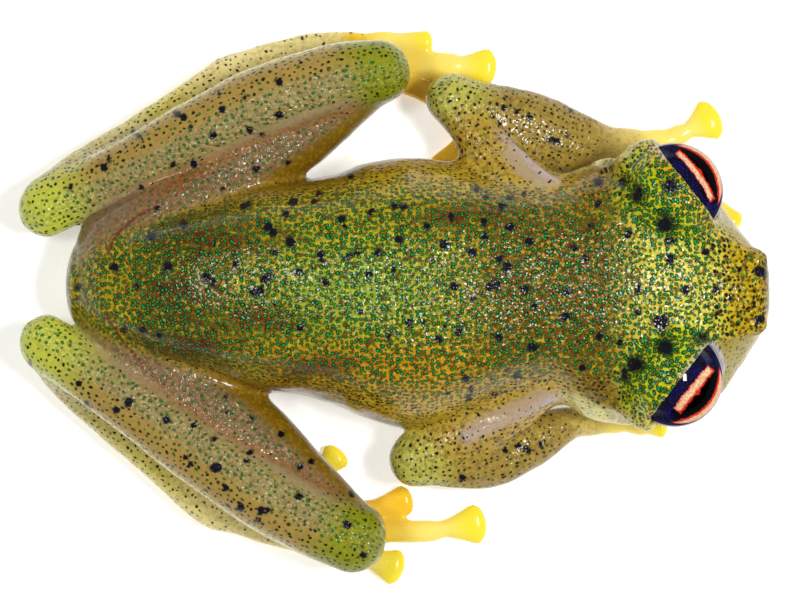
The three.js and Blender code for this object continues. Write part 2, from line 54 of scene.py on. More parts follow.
# Studio: the floor glows faintly, so that it is white and shadows are pale, as in the photograph;
# its half width and its drop are in metres. Each lamp is its name, place, width, height and watts.
FLOOR_REACH = 0.6
FLOOR_DROP = 0.00002
FLOOR_GLOW = 0.4
SKY_STRENGTH = 0.3
LAMPS = (
    ("key", (118.0, 6.0, 256.0), 74.0, 40.0, 0.53),
    ("rear", (-100.0, 20.0, 250.0), 44.0, 44.0, 0.16),
)
LAMP_AIM = (0.0, 0.0, 3.0)

# Eyes, as the solids have them
EYE_RADIUS = 1.95
EYE_X = 11.2
EYE_Z = 4.55
EYE_SPREAD = 3.72
EYE_MIDLINE = 0.88
GAZE = np.radians(38.0)
EYE_RINGS = 72
EYE_STEPS = 96
# For the left eye, 1, and the right eye, -1: how far out along the gaze the lid ends, and how far
# beside the eye's middle the lid's pale rim starts
LID_PLANE = {1.0: 0.5, -1.0: 0.14}
RIM_START = {1.0: 1.0, -1.0: -0.1}
LID_THICKNESS = 0.16
LID_RIM = 0.12
LOWER_LID = 0.15
SOCKET_GRIP = 0.03
# Swellings behind the eye, from its middle: ahead, aside, above
BROW = ((-2.1, 0.95, -0.2), (-1.75, 1.25, -0.1), (-1.4, 1.48, 0.0), (-1.0, 1.6, 0.0))
BROW_RADIUS = 0.38

# The head's small forms
NECK_X = 6.7
REAR_CAP = 0.42
SNOUT_CAP = 0.3
MOUTH_CORNER_X = 9.5
NOSTRIL_X = 14.5
NOSTRIL_SPREAD = 1.36
NOSTRIL_Z = 4.2
NOSTRIL_MIDLINE = 0.62
HEAD_MIDLINE = 0.76
EARDRUM_X = 8.5
EARDRUM_SPREAD = 4.9
EARDRUM_Z = 3.65
EARDRUM_RADIUS = 0.5
EARDRUM_ROLL = 0.13
NOSTRIL_RADIUS = 0.3
NOSTRIL_PIT = 0.14
LIP_STEPS = 60
SNOUT_STEPS = 16
MOUTH_DEPTH = 0.12
LEAN_LEVEL = 3.0

# Digits and webs
DIGIT_HALF_HEIGHT = 0.32
DISC_HALF_HEIGHT = 0.3
DISC_CAP = 0.6
DISC_AHEAD = 0.3
NECK_PLACE = 0.45
NECK_WIDTH = 0.86
PRESSED = 0.03
WEB_THICKNESS = 0.34

# Sections of the body from rump to snout. Each row is: place along X, midline Y at the lean level,
# how far the midline leans with height, belly Z, then half width and Z of the lower side, of the
# widest line (the lip, on the head) and of the upper edge (the canthus, on the head), and the crown.
BODY = np.array([
    [-12.74, 0.86, 0.0, 1.1, 0.9, 1.4, 1.45, 2.3, 0.95, 3.2, 3.5],
    [-11.7, 0.86, 0.0, 0.4, 1.6, 0.75, 2.25, 2.3, 1.45, 4.1, 4.5],
    [-10.4, 0.84, 0.0, 0.0, 2.1, 0.35, 2.75, 2.3, 1.75, 4.85, 5.3],
    [-8.8, 0.8, 0.0, -0.03, 2.6, 0.25, 3.2, 2.4, 2.15, 5.45, 5.95],
    [-7.1, 0.78, 0.0, -0.04, 3.0, 0.2, 3.65, 2.5, 2.5, 5.8, 6.45],
    [-5.4, 0.77, 0.0, -0.04, 3.3, 0.2, 4.1, 2.6, 2.8, 6.1, 6.85],
    [-3.8, 0.76, 0.0, -0.04, 3.5, 0.2, 4.3, 2.7, 3.0, 6.25, 7.1],
    [-2.4, 0.7, 0.0, -0.04, 3.7, 0.2, 4.6, 2.75, 3.2, 6.35, 7.25],
    [-1.2, 0.66, 0.0, -0.04, 4.0, 0.2, 5.1, 2.8, 3.45, 6.4, 7.3],
    [0.5, 0.58, 0.0, -0.04, 4.1, 0.25, 5.4, 2.9, 3.55, 6.35, 7.25],
    [2.2, 0.63, 0.0, -0.02, 4.0, 0.3, 5.2, 3.0, 3.45, 6.15, 7.1],
    [4.2, 0.76, 0.0, 0.2, 3.5, 0.6, 4.55, 3.1, 3.2, 5.85, 6.75],
    [6.2, 0.8, 0.05, 0.6, 3.3, 1.05, 4.2, 3.0, 3.0, 5.5, 6.4],
    [7.5, 0.66, 0.12, 0.85, 3.8, 1.3, 4.95, 2.85, 3.3, 5.35, 6.25],
    [8.9, 0.66, 0.15, 1.0, 4.2, 1.45, 5.3, 2.6, 3.6, 5.2, 6.15],
    [10.3, 0.66, 0.15, 1.05, 4.1, 1.5, 5.3, 2.45, 3.5, 5.1, 6.0],
    [11.7, 0.58, 0.15, 1.1, 3.6, 1.5, 4.9, 2.35, 3.0, 4.9, 5.75],
    [12.86, 0.4, 0.15, 1.2, 2.9, 1.6, 4.05, 2.3, 2.45, 4.65, 5.35],
    [13.8, 0.4, 0.15, 1.4, 1.95, 1.75, 2.84, 2.3, 1.86, 4.45, 5.0],
    [14.45, 0.42, 0.15, 1.65, 1.25, 1.9, 1.86, 2.4, 1.52, 4.3, 4.7],
    [14.74, 0.46, 0.15, 2.1, 0.95, 2.25, 1.4, 2.7, 1.4, 4.15, 4.45],
])

# Limb segments. Each row is a point of the centre line, then the half width and half height there.
LIMBS = {
    "left": {
        "shank": [
            [-0.66, 9.44, 3.05, 1.28, 1.3], [-2.3, 9.12, 3.15, 1.42, 1.42],
            [-5.12, 8.2, 3.2, 1.52, 1.5], [-7.76, 6.95, 3.0, 1.42, 1.42],
            [-10.2, 5.68, 2.55, 1.26, 1.25], [-12.4, 4.64, 2.15, 1.1, 1.1],
            [-13.95, 3.92, 1.95, 1.1, 1.05],
        ],
        "thigh": [
            [-11.1, 2.5, 2.35, 1.6, 1.95], [-8.96, 3.8, 2.35, 1.8, 1.85],
            [-6.56, 5.4, 2.3, 1.72, 1.75], [-3.9, 7.1, 2.3, 1.6, 1.55],
            [-1.6, 8.6, 2.45, 1.18, 1.3], [-0.5, 9.28, 2.55, 1.05, 1.15],
        ],
        "tarsus": [
            [-13.7, 4.3, 1.35, 0.95, 0.95], [-12.6, 5.4, 1.15, 0.85, 0.9],
            [-10.92, 6.48, 1.0, 0.8, 0.85], [-9.12, 7.64, 0.92, 0.78, 0.82],
            [-7.3, 8.78, 0.86, 0.86, 0.84], [-6.3, 9.2, 0.82, 0.9, 0.82],
        ],
        "metatarsus": [
            [-6.6, 9.1, 0.78, 0.9, 0.8], [-4.9, 9.62, 0.6, 1.02, 0.62],
            [-3.0, 9.9, 0.47, 1.15, 0.5], [-1.8, 9.96, 0.4, 1.1, 0.43],
        ],
        "upper_arm": [
            [5.7, 4.2, 2.9, 1.3, 1.15], [4.16, 5.88, 2.8, 1.06, 1.0], [2.9, 7.3, 2.6, 0.8, 0.92],
            [2.24, 8.3, 2.4, 0.84, 0.92],
        ],
        "forearm": [
            [2.28, 8.4, 2.35, 0.9, 0.92], [3.84, 7.84, 2.1, 1.14, 1.05],
            [5.44, 7.2, 1.8, 1.44, 1.05], [6.84, 6.68, 1.45, 1.36, 0.92],
            [8.24, 6.44, 1.05, 1.0, 0.7], [9.4, 6.46, 0.7, 0.62, 0.5],
        ],
        "palm": [
            [9.3, 6.48, 0.6, 0.62, 0.5], [10.44, 6.28, 0.4, 0.85, 0.42],
        ],
    },
    "right": {
        "shank": [
            [-1.66, -9.3, 3.05, 1.34, 1.3], [-3.3, -8.5, 3.15, 1.46, 1.42],
            [-5.36, -7.3, 3.2, 1.52, 1.5], [-8.12, -5.4, 3.0, 1.48, 1.44],
            [-10.2, -3.95, 2.95, 1.34, 1.28], [-12.36, -2.5, 2.7, 1.18, 1.14],
            [-13.93, -1.42, 2.3, 1.1, 1.05],
        ],
        "thigh": [
            [-11.2, -0.95, 2.0, 1.45, 1.6], [-8.96, -2.72, 2.2, 1.7, 1.75],
            [-5.96, -5.12, 2.3, 1.7, 1.75], [-3.76, -6.96, 2.3, 1.34, 1.5],
            [-1.96, -8.44, 2.45, 1.02, 1.28], [-1.4, -8.9, 2.55, 1.02, 1.12],
        ],
        "tarsus": [
            [-13.7, -1.9, 1.35, 0.95, 0.95], [-13.1, -2.9, 1.15, 0.85, 0.9],
            [-11.92, -4.04, 1.0, 0.8, 0.85], [-9.48, -6.2, 0.9, 0.78, 0.82],
            [-7.9, -7.5, 0.86, 0.86, 0.84], [-7.1, -7.95, 0.82, 0.9, 0.82],
        ],
        "metatarsus": [
            [-7.3, -7.85, 0.78, 0.9, 0.8], [-5.56, -8.35, 0.6, 1.02, 0.62],
            [-3.76, -8.75, 0.47, 1.12, 0.5], [-2.5, -9.0, 0.4, 1.1, 0.43],
        ],
        "upper_arm": [
            [5.6, -3.0, 2.9, 1.2, 1.1], [4.24, -4.4, 2.8, 1.04, 1.0], [2.3, -5.45, 2.6, 0.92, 0.92],
            [0.86, -6.16, 2.4, 0.92, 0.92],
        ],
        "forearm": [
            [0.86, -6.12, 2.35, 0.94, 0.92], [2.44, -6.1, 2.1, 1.18, 1.05],
            [4.04, -5.84, 1.8, 1.34, 1.05], [5.64, -5.28, 1.45, 1.06, 0.92],
            [7.04, -4.68, 1.05, 0.68, 0.66], [7.84, -4.6, 0.7, 0.5, 0.48],
        ],
        "palm": [
            [7.8, -4.56, 0.6, 0.52, 0.48], [8.8, -4.36, 0.4, 0.74, 0.42],
        ],
    },
}

# Digits from the innermost outwards: path over the floor, half width of the shaft, of the disc.
FINGERS = {
    "left": [
        ([[9.9, 6.1], [10.4, 4.7], [10.72, 3.7]], 0.34, 0.46),
        ([[10.3, 6.0], [11.5, 4.6], [12.24, 3.4]], 0.34, 0.5),
        ([[10.5, 6.1], [12.2, 4.9], [13.42, 3.5]], 0.36, 0.58),
        ([[10.3, 6.5], [11.5, 6.94], [12.42, 7.4]], 0.4, 0.84),
    ],
    "right": [
        ([[8.5, -4.1], [9.3, -3.0], [9.84, -2.2]], 0.34, 0.46),
        ([[8.9, -4.2], [10.3, -3.3], [11.4, -2.7]], 0.34, 0.5),
        ([[9.0, -4.3], [10.9, -3.95], [12.2, -3.6]], 0.36, 0.56),
        ([[8.9, -4.5], [9.9, -4.82], [10.6, -4.82]], 0.34, 0.46),
    ],
}
TOES = {
    "left": [
        ([[-4.6, 9.2], [-3.9, 8.1], [-3.36, 7.4]], 0.34, 0.46),
        ([[-3.6, 9.4], [-2.5, 8.7], [-1.56, 8.1]], 0.36, 0.5),
        ([[-2.2, 9.5], [0.2, 9.04], [1.8, 8.3], [2.9, 7.1], [2.26, 5.84]], 0.38, 0.76),
        ([[-2.2, 9.95], [0.3, 9.84], [2.2, 9.72], [3.44, 9.66]], 0.5, 0.76),
        ([[-2.6, 10.3], [-0.6, 10.64], [1.16, 10.68]], 0.44, 0.44),
    ],
    "right": [
        ([[-5.3, -8.1], [-5.0, -7.2], [-4.76, -6.5]], 0.34, 0.46),
        ([[-4.4, -8.3], [-3.3, -7.1], [-2.48, -6.16]], 0.36, 0.6),
        ([[-3.0, -8.7], [-1.2, -8.25], [0.2, -7.84]], 0.44, 0.62),
        ([[-2.6, -9.0], [0.2, -9.04], [1.44, -9.02], [3.0, -8.78]], 0.44, 0.8),
        ([[-2.9, -9.4], [-1.5, -10.0], [-0.24, -10.4]], 0.44, 0.72),
    ],
}
WEBS = {
    "left": {
        "foot": [
            [[-2.6, 9.9], [0.0, 9.8], [1.9, 9.6], [1.5, 8.6], [0.2, 9.0], [-2.4, 9.5]],
            [[-2.6, 10.2], [-0.4, 10.5], [0.9, 10.55], [1.5, 9.9], [0.2, 9.8], [-2.4, 9.9]],
        ],
        "hand": [[[10.2, 6.5], [11.2, 6.8], [11.3, 6.1], [11.2, 5.6], [10.4, 6.0]]],
    },
    "right": {
        "foot": [
            [[-3.0, -8.8], [-1.0, -8.3], [0.1, -8.1], [0.6, -8.9], [0.2, -9.0], [-2.8, -9.0]],
            [[-3.0, -9.3], [-1.6, -9.9], [-0.6, -9.8], [-0.3, -9.2], [-0.5, -9.0], [-2.8, -9.0]],
        ],
        "hand": [[[8.8, -4.5], [9.6, -4.6], [9.9, -4.3], [9.7, -4.1], [8.9, -4.2]]],
    },
}

# The free edge of the thin skin that spans each armpit: x, y and z
FLAPS = {
    "left": [[4.4, 6.75, 3.32], [5.0, 6.15, 3.5], [5.7, 5.5, 3.68], [6.35, 4.95, 3.9]],
    "right": [[2.9, -5.2, 3.62], [4.1, -4.68, 3.68], [5.2, -4.18, 3.7], [6.3, -3.62, 3.78]],
}
FLAP_EDGE = 0.11

# How far two forms melt into each other where they meet: wide where flesh joins, narrow in creases
HIP_REACH = 0.5
SHOULDER_REACH = 0.9
WRIST_REACH = 0.45
DIGIT_REACH = 0.3
CREASE_REACH = 0.22
FOLD_REACH = 0.8
CROOK_REACH = 0.5
LID_REACH = 0.65
BROW_REACH = 0.5
LID_RIM_REACH = 0.12
LOWER_LID_REACH = 0.2
SOCKET_EDGE = 0.06
NOSTRIL_REACH = 0.35
PIT_EDGE = 0.07
EARDRUM_REACH = 0.2
FLAP_REACH = 0.3
MOUTH_EDGE = 0.1
FLOOR_EDGE = 0.12

# The fine ripple of the skin: the size, seed and depth of each kind of lump
RIPPLES = ((0.9, 3, 0.03), (0.42, 5, 0.018))
# Large odd numbers that turn a lattice corner and a seed into a random number
SCRAMBLE = (73856093, 19349663, 83492791, 2654435761, 1274126177)

# The grid on which the skin is found: its cell, the slabs it is worked out in, the distance given
# to places far from a form, and how far round a form its own distance is worked out
CELL = 0.152
SLABS = 16
POINTS_AT_ONCE = 60000
FAR = 9.0
MARGIN = 1.3

# How far the colours of two forms run into each other, and how far apart on the chart of markings
# two forms lie
COLOUR_REACH = 0.14
CHART_STEP = 37.0


# Camera, floor and light

def put(name, data):
    """Puts a camera, a lamp or a mesh into the scene."""
    piece = bpy.data.objects.new(name, data)
    bpy.context.scene.collection.objects.link(piece)
    return piece


def set_camera():
    camera = bpy.data.cameras.new("camera")
    camera.sensor_width = SENSOR_WIDTH
    camera.lens = SENSOR_WIDTH * CAMERA_DISTANCE * PIXELS_PER_MM / PHOTO_WIDTH
    camera.clip_start = 0.01
    camera.clip_end = 5.0
    holder = put("camera", camera)
    x, y, z = VIEW_MIDDLE
    holder.location = (x * MM, y * MM, (z + CAMERA_DISTANCE) * MM)
    bpy.context.scene.camera = holder


def soft_light(name, place, width, height, watts):
    """A flat lamp at a place in millimetres that faces the animal."""
    lamp = bpy.data.lights.new(name, "AREA")
    lamp.shape = "RECTANGLE"
    lamp.size = width * MM
    lamp.size_y = height * MM
    lamp.energy = watts
    holder = put(name, lamp)
    spot = np.array(place, float) * MM
    holder.location = spot
    away = spot - np.array(LAMP_AIM) * MM
    x, y, z = away / np.linalg.norm(away)
    holder.rotation_euler = (np.arccos(z), 0.0, np.arctan2(x, -y))


def set_light():
    world = bpy.data.worlds.new("studio")
    world.use_nodes = True
    background = world.node_tree.nodes["Background"]
    background.inputs["Color"].default_value = (1.0, 1.0, 1.0, 1.0)
    background.inputs["Strength"].default_value = SKY_STRENGTH
    bpy.context.scene.world = world
    for lamp in LAMPS:
        soft_light(*lamp)
    bpy.context.scene.view_settings.view_transform = "Standard"


# Shader maths

class Wire:
    """A shader socket that is added, multiplied and so on as a number is."""

    def __init__(self, paint, socket):
        self.paint = paint
        self.socket = socket

    def _with(self, operation, *others):
        return self.paint.node("ShaderNodeMath", {"operation": operation}, dict(enumerate(others)))

    def __add__(self, other):
        return self._with("ADD", self, other)

    def __sub__(self, other):
        return self._with("SUBTRACT", self, other)

    def __rsub__(self, other):
        return self._with("SUBTRACT", other, self)

    def __mul__(self, other):
        return self._with("MULTIPLY", self, other)

    def __truediv__(self, other):
        return self._with("DIVIDE", self, other)

    def __pow__(self, other):
        return self._with("POWER", self, other)

    def below(self, other):
        return self._with("MINIMUM", self, other)

    def above(self, other):
        return self._with("MAXIMUM", self, other)

    def size(self):
        return self._with("ABSOLUTE", self)


class Paint:
    """A material's nodes. Every node is added by the one method, node()."""

    def __init__(self, name):
        self.material = bpy.data.materials.new(name)
        self.material.use_nodes = True
        self.tree = self.material.node_tree
        self.tree.nodes.clear()

    def node(self, kind, settings=None, sockets=None, out=0):
        """Adds a node, makes its settings, then fills its sockets with values or links."""
        made = self.tree.nodes.new(kind)
        for name, value in (settings or {}).items():
            setattr(made, name, value)
        for name, value in (sockets or {}).items():
            if isinstance(value, Wire):
                self.tree.links.new(value.socket, made.inputs[name])
            else:
                made.inputs[name].default_value = value
        return Wire(self, made.outputs[out]) if made.outputs else None

    def value(self, name):
        """A number that the mesh carries at each point."""
        return self.node("ShaderNodeAttribute", {"attribute_name": name}, out="Fac")

    def vector(self, name):
        return self.node("ShaderNodeAttribute", {"attribute_name": name}, out="Vector")

    def colour(self, name):
        return self.node("ShaderNodeAttribute", {"attribute_name": name}, out="Color")

    def step(self, value, low, high):
        """0 below low, 1 above high, and a smooth rise between; low above high falls instead."""
        return self.node("ShaderNodeMapRange", {"interpolation_type": "SMOOTHSTEP"},
                         {"Value": value, "From Min": low, "From Max": high})

    def mix(self, share, first, second):
        """Goes from the first colour to the second as the share goes from 0 to 1."""
        return self.node("ShaderNodeMix", {"data_type": "RGBA"},
                         {0: share, 6: first, 7: second}, out=2)

    def scaled(self, vector, by):
        return self.node("ShaderNodeVectorMath", {"operation": "SCALE"}, {0: vector, 3: by})

    def shifted(self, vector, by):
        return self.node("ShaderNodeVectorMath", {"operation": "ADD"}, {0: vector, 1: by})

    def noise(self, vector, size, detail, out=0):
        """Cloudy noise whose lumps are about size across, in the vector's own unit."""
        return self.node("ShaderNodeTexNoise", {},
                         {"Vector": vector, "Scale": 1.0 / size, "Detail": detail}, out=out)

    def sway(self, vector, size, detail, far):
        """A number that wanders by noise, up to half of far each way."""
        return (self.noise(vector, size, detail) - 0.5) * far

    def stir(self, vector, place, size, far):
        """The vector moved about by noise that depends on the place, up to half of far each way."""
        off = self.shifted(self.noise(place, size, 1.0, out="Color"), (-0.5, -0.5, -0.5))
        return self.shifted(vector, self.scaled(off, far))

    def cells(self, vector, size, randomness, out="Distance", flat=True):
        """Scattered cells about size apart: distance to the nearest middle, in cells, or its own
        random colour."""
        return self.node("ShaderNodeTexVoronoi",
                         {"voronoi_dimensions": "2D" if flat else "3D"},
                         {"Vector": vector, "Scale": 1.0 / size, "Randomness": randomness}, out=out)

    def channel(self, colour, index):
        return self.node("ShaderNodeSeparateColor", {}, {0: colour}, out=index)

    def finish(self, **sockets):
        names = {name.replace("_", " "): value for name, value in sockets.items()}
        shader = self.node("ShaderNodeBsdfPrincipled", {}, names)
        self.node("ShaderNodeOutputMaterial", {}, {"Surface": shader})
        return self.material


def srgb(red, green, blue):
    """A colour of 0 to 255 as it looks, as linear light with alpha 1."""
    shown = np.array([red, green, blue], float) / 255.0
    linear = np.where(shown <= 0.04045, shown / 12.92, ((shown + 0.055) / 1.055) ** 2.4)
    return (*linear.tolist(), 1.0)


# Smooth curves through rows

def cubic(p1, p2, leave, reach, w):
    """From p1 at w = 0 to p2 at w = 1, leaving and reaching them along the given slopes."""
    return (((2 * p1 - 2 * p2 + leave + reach) * w + (3 * p2 - 3 * p1 - 2 * leave - reach)) * w
            + leave) * w + p1


def rows_at(rows, t):
    """The rows as smooth columns: at t = 0 the first row, at t = 1 the last."""
    rows = np.asarray(rows, float)
    last = len(rows) - 1
    place = np.clip(np.asarray(t, float), 0.0, 1.0) * last
    i = np.minimum(place.astype(int), last - 1)
    leave = (rows[i + 1] - rows[np.maximum(i - 1, 0)]) * 0.5
    reach = (rows[np.minimum(i + 2, last)] - rows[i]) * 0.5
    return cubic(rows[i], rows[i + 1], leave, reach, (place - i)[..., None])


def closed_ring(ring, steps):
    """Points along closed rings (rings, points, 2), each stretch timed by the root of its length."""
    p0, p1, p2, p3 = (np.roll(ring, turn, axis=1)[:, :, None] for turn in (1, 0, -1, -2))
    gap = [np.maximum(np.sqrt(np.linalg.norm(b - a, axis=-1, keepdims=True)), 1e-4)
           for a, b in ((p0, p1), (p1, p2), (p2, p3))]
    leave = ((p1 - p0) / gap[0] - (p2 - p0) / (gap[0] + gap[1]) + (p2 - p1) / gap[1]) * gap[1]
    reach = ((p2 - p1) / gap[1] - (p3 - p1) / (gap[1] + gap[2]) + (p3 - p2) / gap[2]) * gap[1]
    w = (np.arange(steps) / steps)[None, None, :, None]
    return cubic(p1, p2, leave, reach, w).reshape(len(ring), -1, 2)


# Forms: each gives, for any points, the distance to its surface, negative inside, and a place on
# it, as millimetres along and millimetres round from its top line

class Limb:
    """An ellipse carried upright along a centre line, with rounded ends.

    A point's place is taken at the nearest of many points of the centre line. With a to the side,
    b upwards and c past the end, as shares of half width, half height and cap, the distance is
    k (k - 1) / g, where k is the length of (a, b, c) and g that of its slope.
    """

    SAMPLES = 90

    def __init__(self, rows, start_cap=None, end_cap=None):
        rows = np.array(rows, float)
        self.rows = rows_at(rows, np.linspace(0.0, 1.0, self.SAMPLES))
        self.middle = self.rows[:, :3]
        forward = np.gradient(self.middle, axis=0)
        self.spacing = np.linalg.norm(forward, axis=1)
        self.forward = forward / self.spacing[:, None]
        side = np.cross([0.0, 0.0, 1.0], self.forward)
        self.side = side / np.linalg.norm(side, axis=1)[:, None]
        self.up = np.cross(self.forward, self.side)
        steps = np.linalg.norm(np.diff(self.middle, axis=0), axis=1)
        self.length = np.concatenate([[0.0], np.cumsum(steps)])
        self.caps = (start_cap or rows[0, 3], end_cap or rows[-1, 3])
        room = self.rows[:, 3:5].max(axis=1, keepdims=True) + MARGIN
        self.low = (self.middle - room).min(axis=0) - max(self.caps) * 0.5
        self.high = (self.middle + room).max(axis=0) + max(self.caps) * 0.5

    def measure(self, points):
        """Distance, share of the way along, length along, angle from the top, length round from
        the top, and the length of a full turn."""
        score = (self.middle ** 2).sum(axis=1) - 2.0 * points @ self.middle.T
        i = score.argmin(axis=1)
        rest = points - self.middle[i]
        ahead = (rest * self.forward[i]).sum(axis=1)
        a = (rest * self.side[i]).sum(axis=1)
        b = (rest * self.up[i]).sum(axis=1)
        place = np.clip(i + ahead / self.spacing[i], 0.0, self.SAMPLES - 1.0)
        past_start = np.where(i == 0, np.maximum(-ahead, 0.0), 0.0)
        past_end = np.where(i == self.SAMPLES - 1, np.maximum(ahead, 0.0), 0.0)
        width, height, along = (np.interp(place, np.arange(self.SAMPLES), column)
                                for column in (self.rows[:, 3], self.rows[:, 4], self.length))
        cap = np.where(past_start > 0, self.caps[0], self.caps[1])
        c = past_start + past_end
        k = np.sqrt((a / width) ** 2 + (b / height) ** 2 + (c / cap) ** 2)
        g = np.sqrt((a / width ** 2) ** 2 + (b / height ** 2) ** 2 + (c / cap ** 2) ** 2)
        distance = k * (k - 1.0) / np.maximum(g, 1e-6)
        angle = np.arctan2(a, b)
        along = along - past_start + past_end
        middling = (width + height) / 2
        return (distance, place / (self.SAMPLES - 1.0), along, angle, angle * middling,
                2 * np.pi * middling)


class Trunk:
    """Trunk and head: a closed smooth section through eight points, carried from rump to snout.

    A table holds the section's radius at every place along and every angle round a middle line.
    The distance is the point's own radius less the table's, over the length of that slope.
    """

    STATIONS = 420
    ANGLES = 240
    RING_STEPS = 16
    LOWEST = (-7.5, -1.0)
    HIGHEST = (8.5, 9.0)

    def __init__(self, rows):
        t = np.linspace(0.0, 1.0, self.STATIONS)
        table = rows_at(rows, t)
        x = table[:, 0]
        self.x = np.concatenate([[x[0] - REAR_CAP], np.linspace(x[0], x[-1], self.STATIONS),
                                 [x[-1] + SNOUT_CAP]])
        places = np.interp(np.clip(self.x, x[0], x[-1]), x, t)
        table = rows_at(rows, places)
        _, mid, lean, belly, low_w, low_z, wide_w, wide_z, up_w, up_z, crown = table.T
        zero = np.zeros_like(mid)
        across = np.stack([zero, low_w, wide_w, up_w, zero, -up_w, -wide_w, -low_w], axis=1)
        height = np.stack([belly, low_z, wide_z, up_z, crown, up_z, wide_z, low_z], axis=1)
        across = across + lean[:, None] * (height - LEAN_LEVEL)
        self.mid = mid
        self.centre_z = (belly + crown) / 2
        ring = closed_ring(np.stack([across, height - self.centre_z[:, None]], axis=2),
                           self.RING_STEPS)
        angle = np.arctan2(ring[:, :, 0], ring[:, :, 1])
        radius = np.hypot(ring[:, :, 0], ring[:, :, 1])
        self.angles = np.linspace(-np.pi, np.pi, self.ANGLES)
        self.radius = np.stack([np.interp(self.angles, a[order], r[order], period=2 * np.pi)
                                for a, r in zip(angle, radius) for order in [np.argsort(a)]])
        arc = np.hypot(self.radius, np.gradient(self.radius, self.angles, axis=1))
        arc = np.concatenate([zero[:, None], np.cumsum((arc[:, 1:] + arc[:, :-1]) / 2, axis=1)
                              * (self.angles[1] - self.angles[0])], axis=1)
        middle = np.stack([np.interp(0.0, self.angles, row) for row in arc])
        self.round = arc - middle[:, None]
        steps = np.hypot(np.diff(self.x)[:, None], np.diff(self.radius, axis=0))
        self.far = np.concatenate([np.zeros((1, self.ANGLES)), np.cumsum(steps, axis=0)])
        self.far -= self.far[len(self.x) // 2]
        self.first_x = x[0]
        self.last_x = x[-1]
        self.low = np.array([x[0] - REAR_CAP - MARGIN, *self.LOWEST])
        self.high = np.array([x[-1] + SNOUT_CAP + MARGIN, *self.HIGHEST])

    def _lookup(self, table, x, angle):
        """Reads a table at places along and angles round, straight between its entries."""
        row = np.interp(x, self.x, np.arange(len(self.x)))
        column = (angle + np.pi) / (2 * np.pi) * (self.ANGLES - 1)
        i = np.minimum(row.astype(int), len(self.x) - 2)
        j = np.clip(column.astype(int), 0, self.ANGLES - 2)
        u = row - i
        v = column - j
        return ((table[i, j] * (1 - v) + table[i, j + 1] * v) * (1 - u)
                + (table[i + 1, j] * (1 - v) + table[i + 1, j + 1] * v) * u)

    def raw(self, points):
        """The point's radius from the middle line less the section's radius, not yet a distance."""
        x = points[:, 0]
        inner = np.clip(x, self.first_x, self.last_x)
        mid = np.interp(inner, self.x, self.mid)
        centre = np.interp(inner, self.x, self.centre_z)
        across = points[:, 1] - mid
        height = points[:, 2] - centre
        angle = np.arctan2(across, height)
        own = np.hypot(across, height)
        radius = self._lookup(self.radius, inner, angle)
        past = np.maximum(self.first_x - x, 0) / REAR_CAP + np.maximum(x - self.last_x, 0) / SNOUT_CAP
        radius = radius * np.where(past < 1, np.sqrt(np.maximum(1 - past ** 2, 0)), 1 - past)
        return own - radius, angle, inner

    def measure(self, points):
        """Distance, share of the way along, length along, angle from the crown, length round."""
        value, angle, inner = self.raw(points)
        nudge = 0.02
        slope = np.zeros(len(points))
        for axis in np.eye(3):
            ahead = self.raw(points + axis * nudge)[0]
            behind = self.raw(points - axis * nudge)[0]
            slope += ((ahead - behind) / (2 * nudge)) ** 2
        distance = value / np.maximum(np.sqrt(slope), 0.7)
        share = (inner - self.first_x) / (self.last_x - self.first_x)
        turn = np.interp(inner, self.x, self.round[:, -1] - self.round[:, 0])
        along = self._lookup(self.far, inner, angle) + points[:, 0] - inner
        return distance, share, along, angle, self._lookup(self.round, inner, angle), turn


class Web:
    """A thin flat sheet inside an outline, a little above the floor."""

    def __init__(self, outline):
        self.outline = np.array(outline, float)
        self.low = np.append(self.outline.min(axis=0) - MARGIN, -1.0)
        self.high = np.append(self.outline.max(axis=0) + MARGIN, WEB_THICKNESS + MARGIN)

    def measure(self, points):
        """The distance to the outline, counted negative inside it, and to the sheet's two faces."""
        start = self.outline
        edge = np.roll(start, -1, axis=0) - start
        rest = points[:, None, :2] - start
        nearest = edge_distance(rest, edge)
        y = points[:, None, 1]
        rising = (start[:, 1] <= y) != (start[:, 1] + edge[:, 1] <= y)
        turn = edge[:, 0] * rest[:, :, 1] - edge[:, 1] * rest[:, :, 0]
        right = rising & ((turn > 0) == (edge[:, 1] < 0))
        inside = right.sum(axis=1) % 2 == 1
        flat = np.where(inside, -nearest, nearest)
        middle = WEB_THICKNESS / 2 - PRESSED
        tall = np.abs(points[:, 2] - middle) - WEB_THICKNESS / 2
        distance = np.maximum(flat, tall)
        zero = np.zeros(len(points))
        return distance, zero, points[:, 0], zero, points[:, 1], zero


class Lid:
    """The upper lid: a shell of a ball round the eye, up to a plane across its gaze.

    A point's place is its turn from straight up, in millimetres of arc, ahead and aside.
    """

    def __init__(self, sign):
        self.sign = sign
        self.radius = EYE_RADIUS + LID_THICKNESS
        centre, _ = eye_frame(sign)
        self.low = centre - self.radius - MARGIN
        self.high = centre + self.radius + MARGIN

    def measure(self, points):
        rest, away, out = about_eye(points, self.sign)
        distance = np.maximum(away - self.radius, out - LID_PLANE[self.sign])
        level = np.hypot(rest[:, 0], rest[:, 1])
        turned = np.arctan2(level, rest[:, 2]) * self.radius / np.maximum(level, 1e-6)
        zero = np.zeros(len(points))
        return distance, zero, turned * rest[:, 0], zero, turned * rest[:, 1], zero


def eye_frame(sign):
    """The eye's middle, and the level direction in which it looks."""
    centre = np.array([EYE_X, EYE_MIDLINE + sign * EYE_SPREAD, EYE_Z])
    gaze = np.array([np.cos(GAZE), sign * np.sin(GAZE), 0.0])
    return centre, gaze


def about_eye(points, sign):
    """Places counted from the eye's middle, how far off they are, and how far along its gaze."""
    centre, gaze = eye_frame(sign)
    rest = points - centre
    return rest, np.linalg.norm(rest, axis=1), rest @ gaze


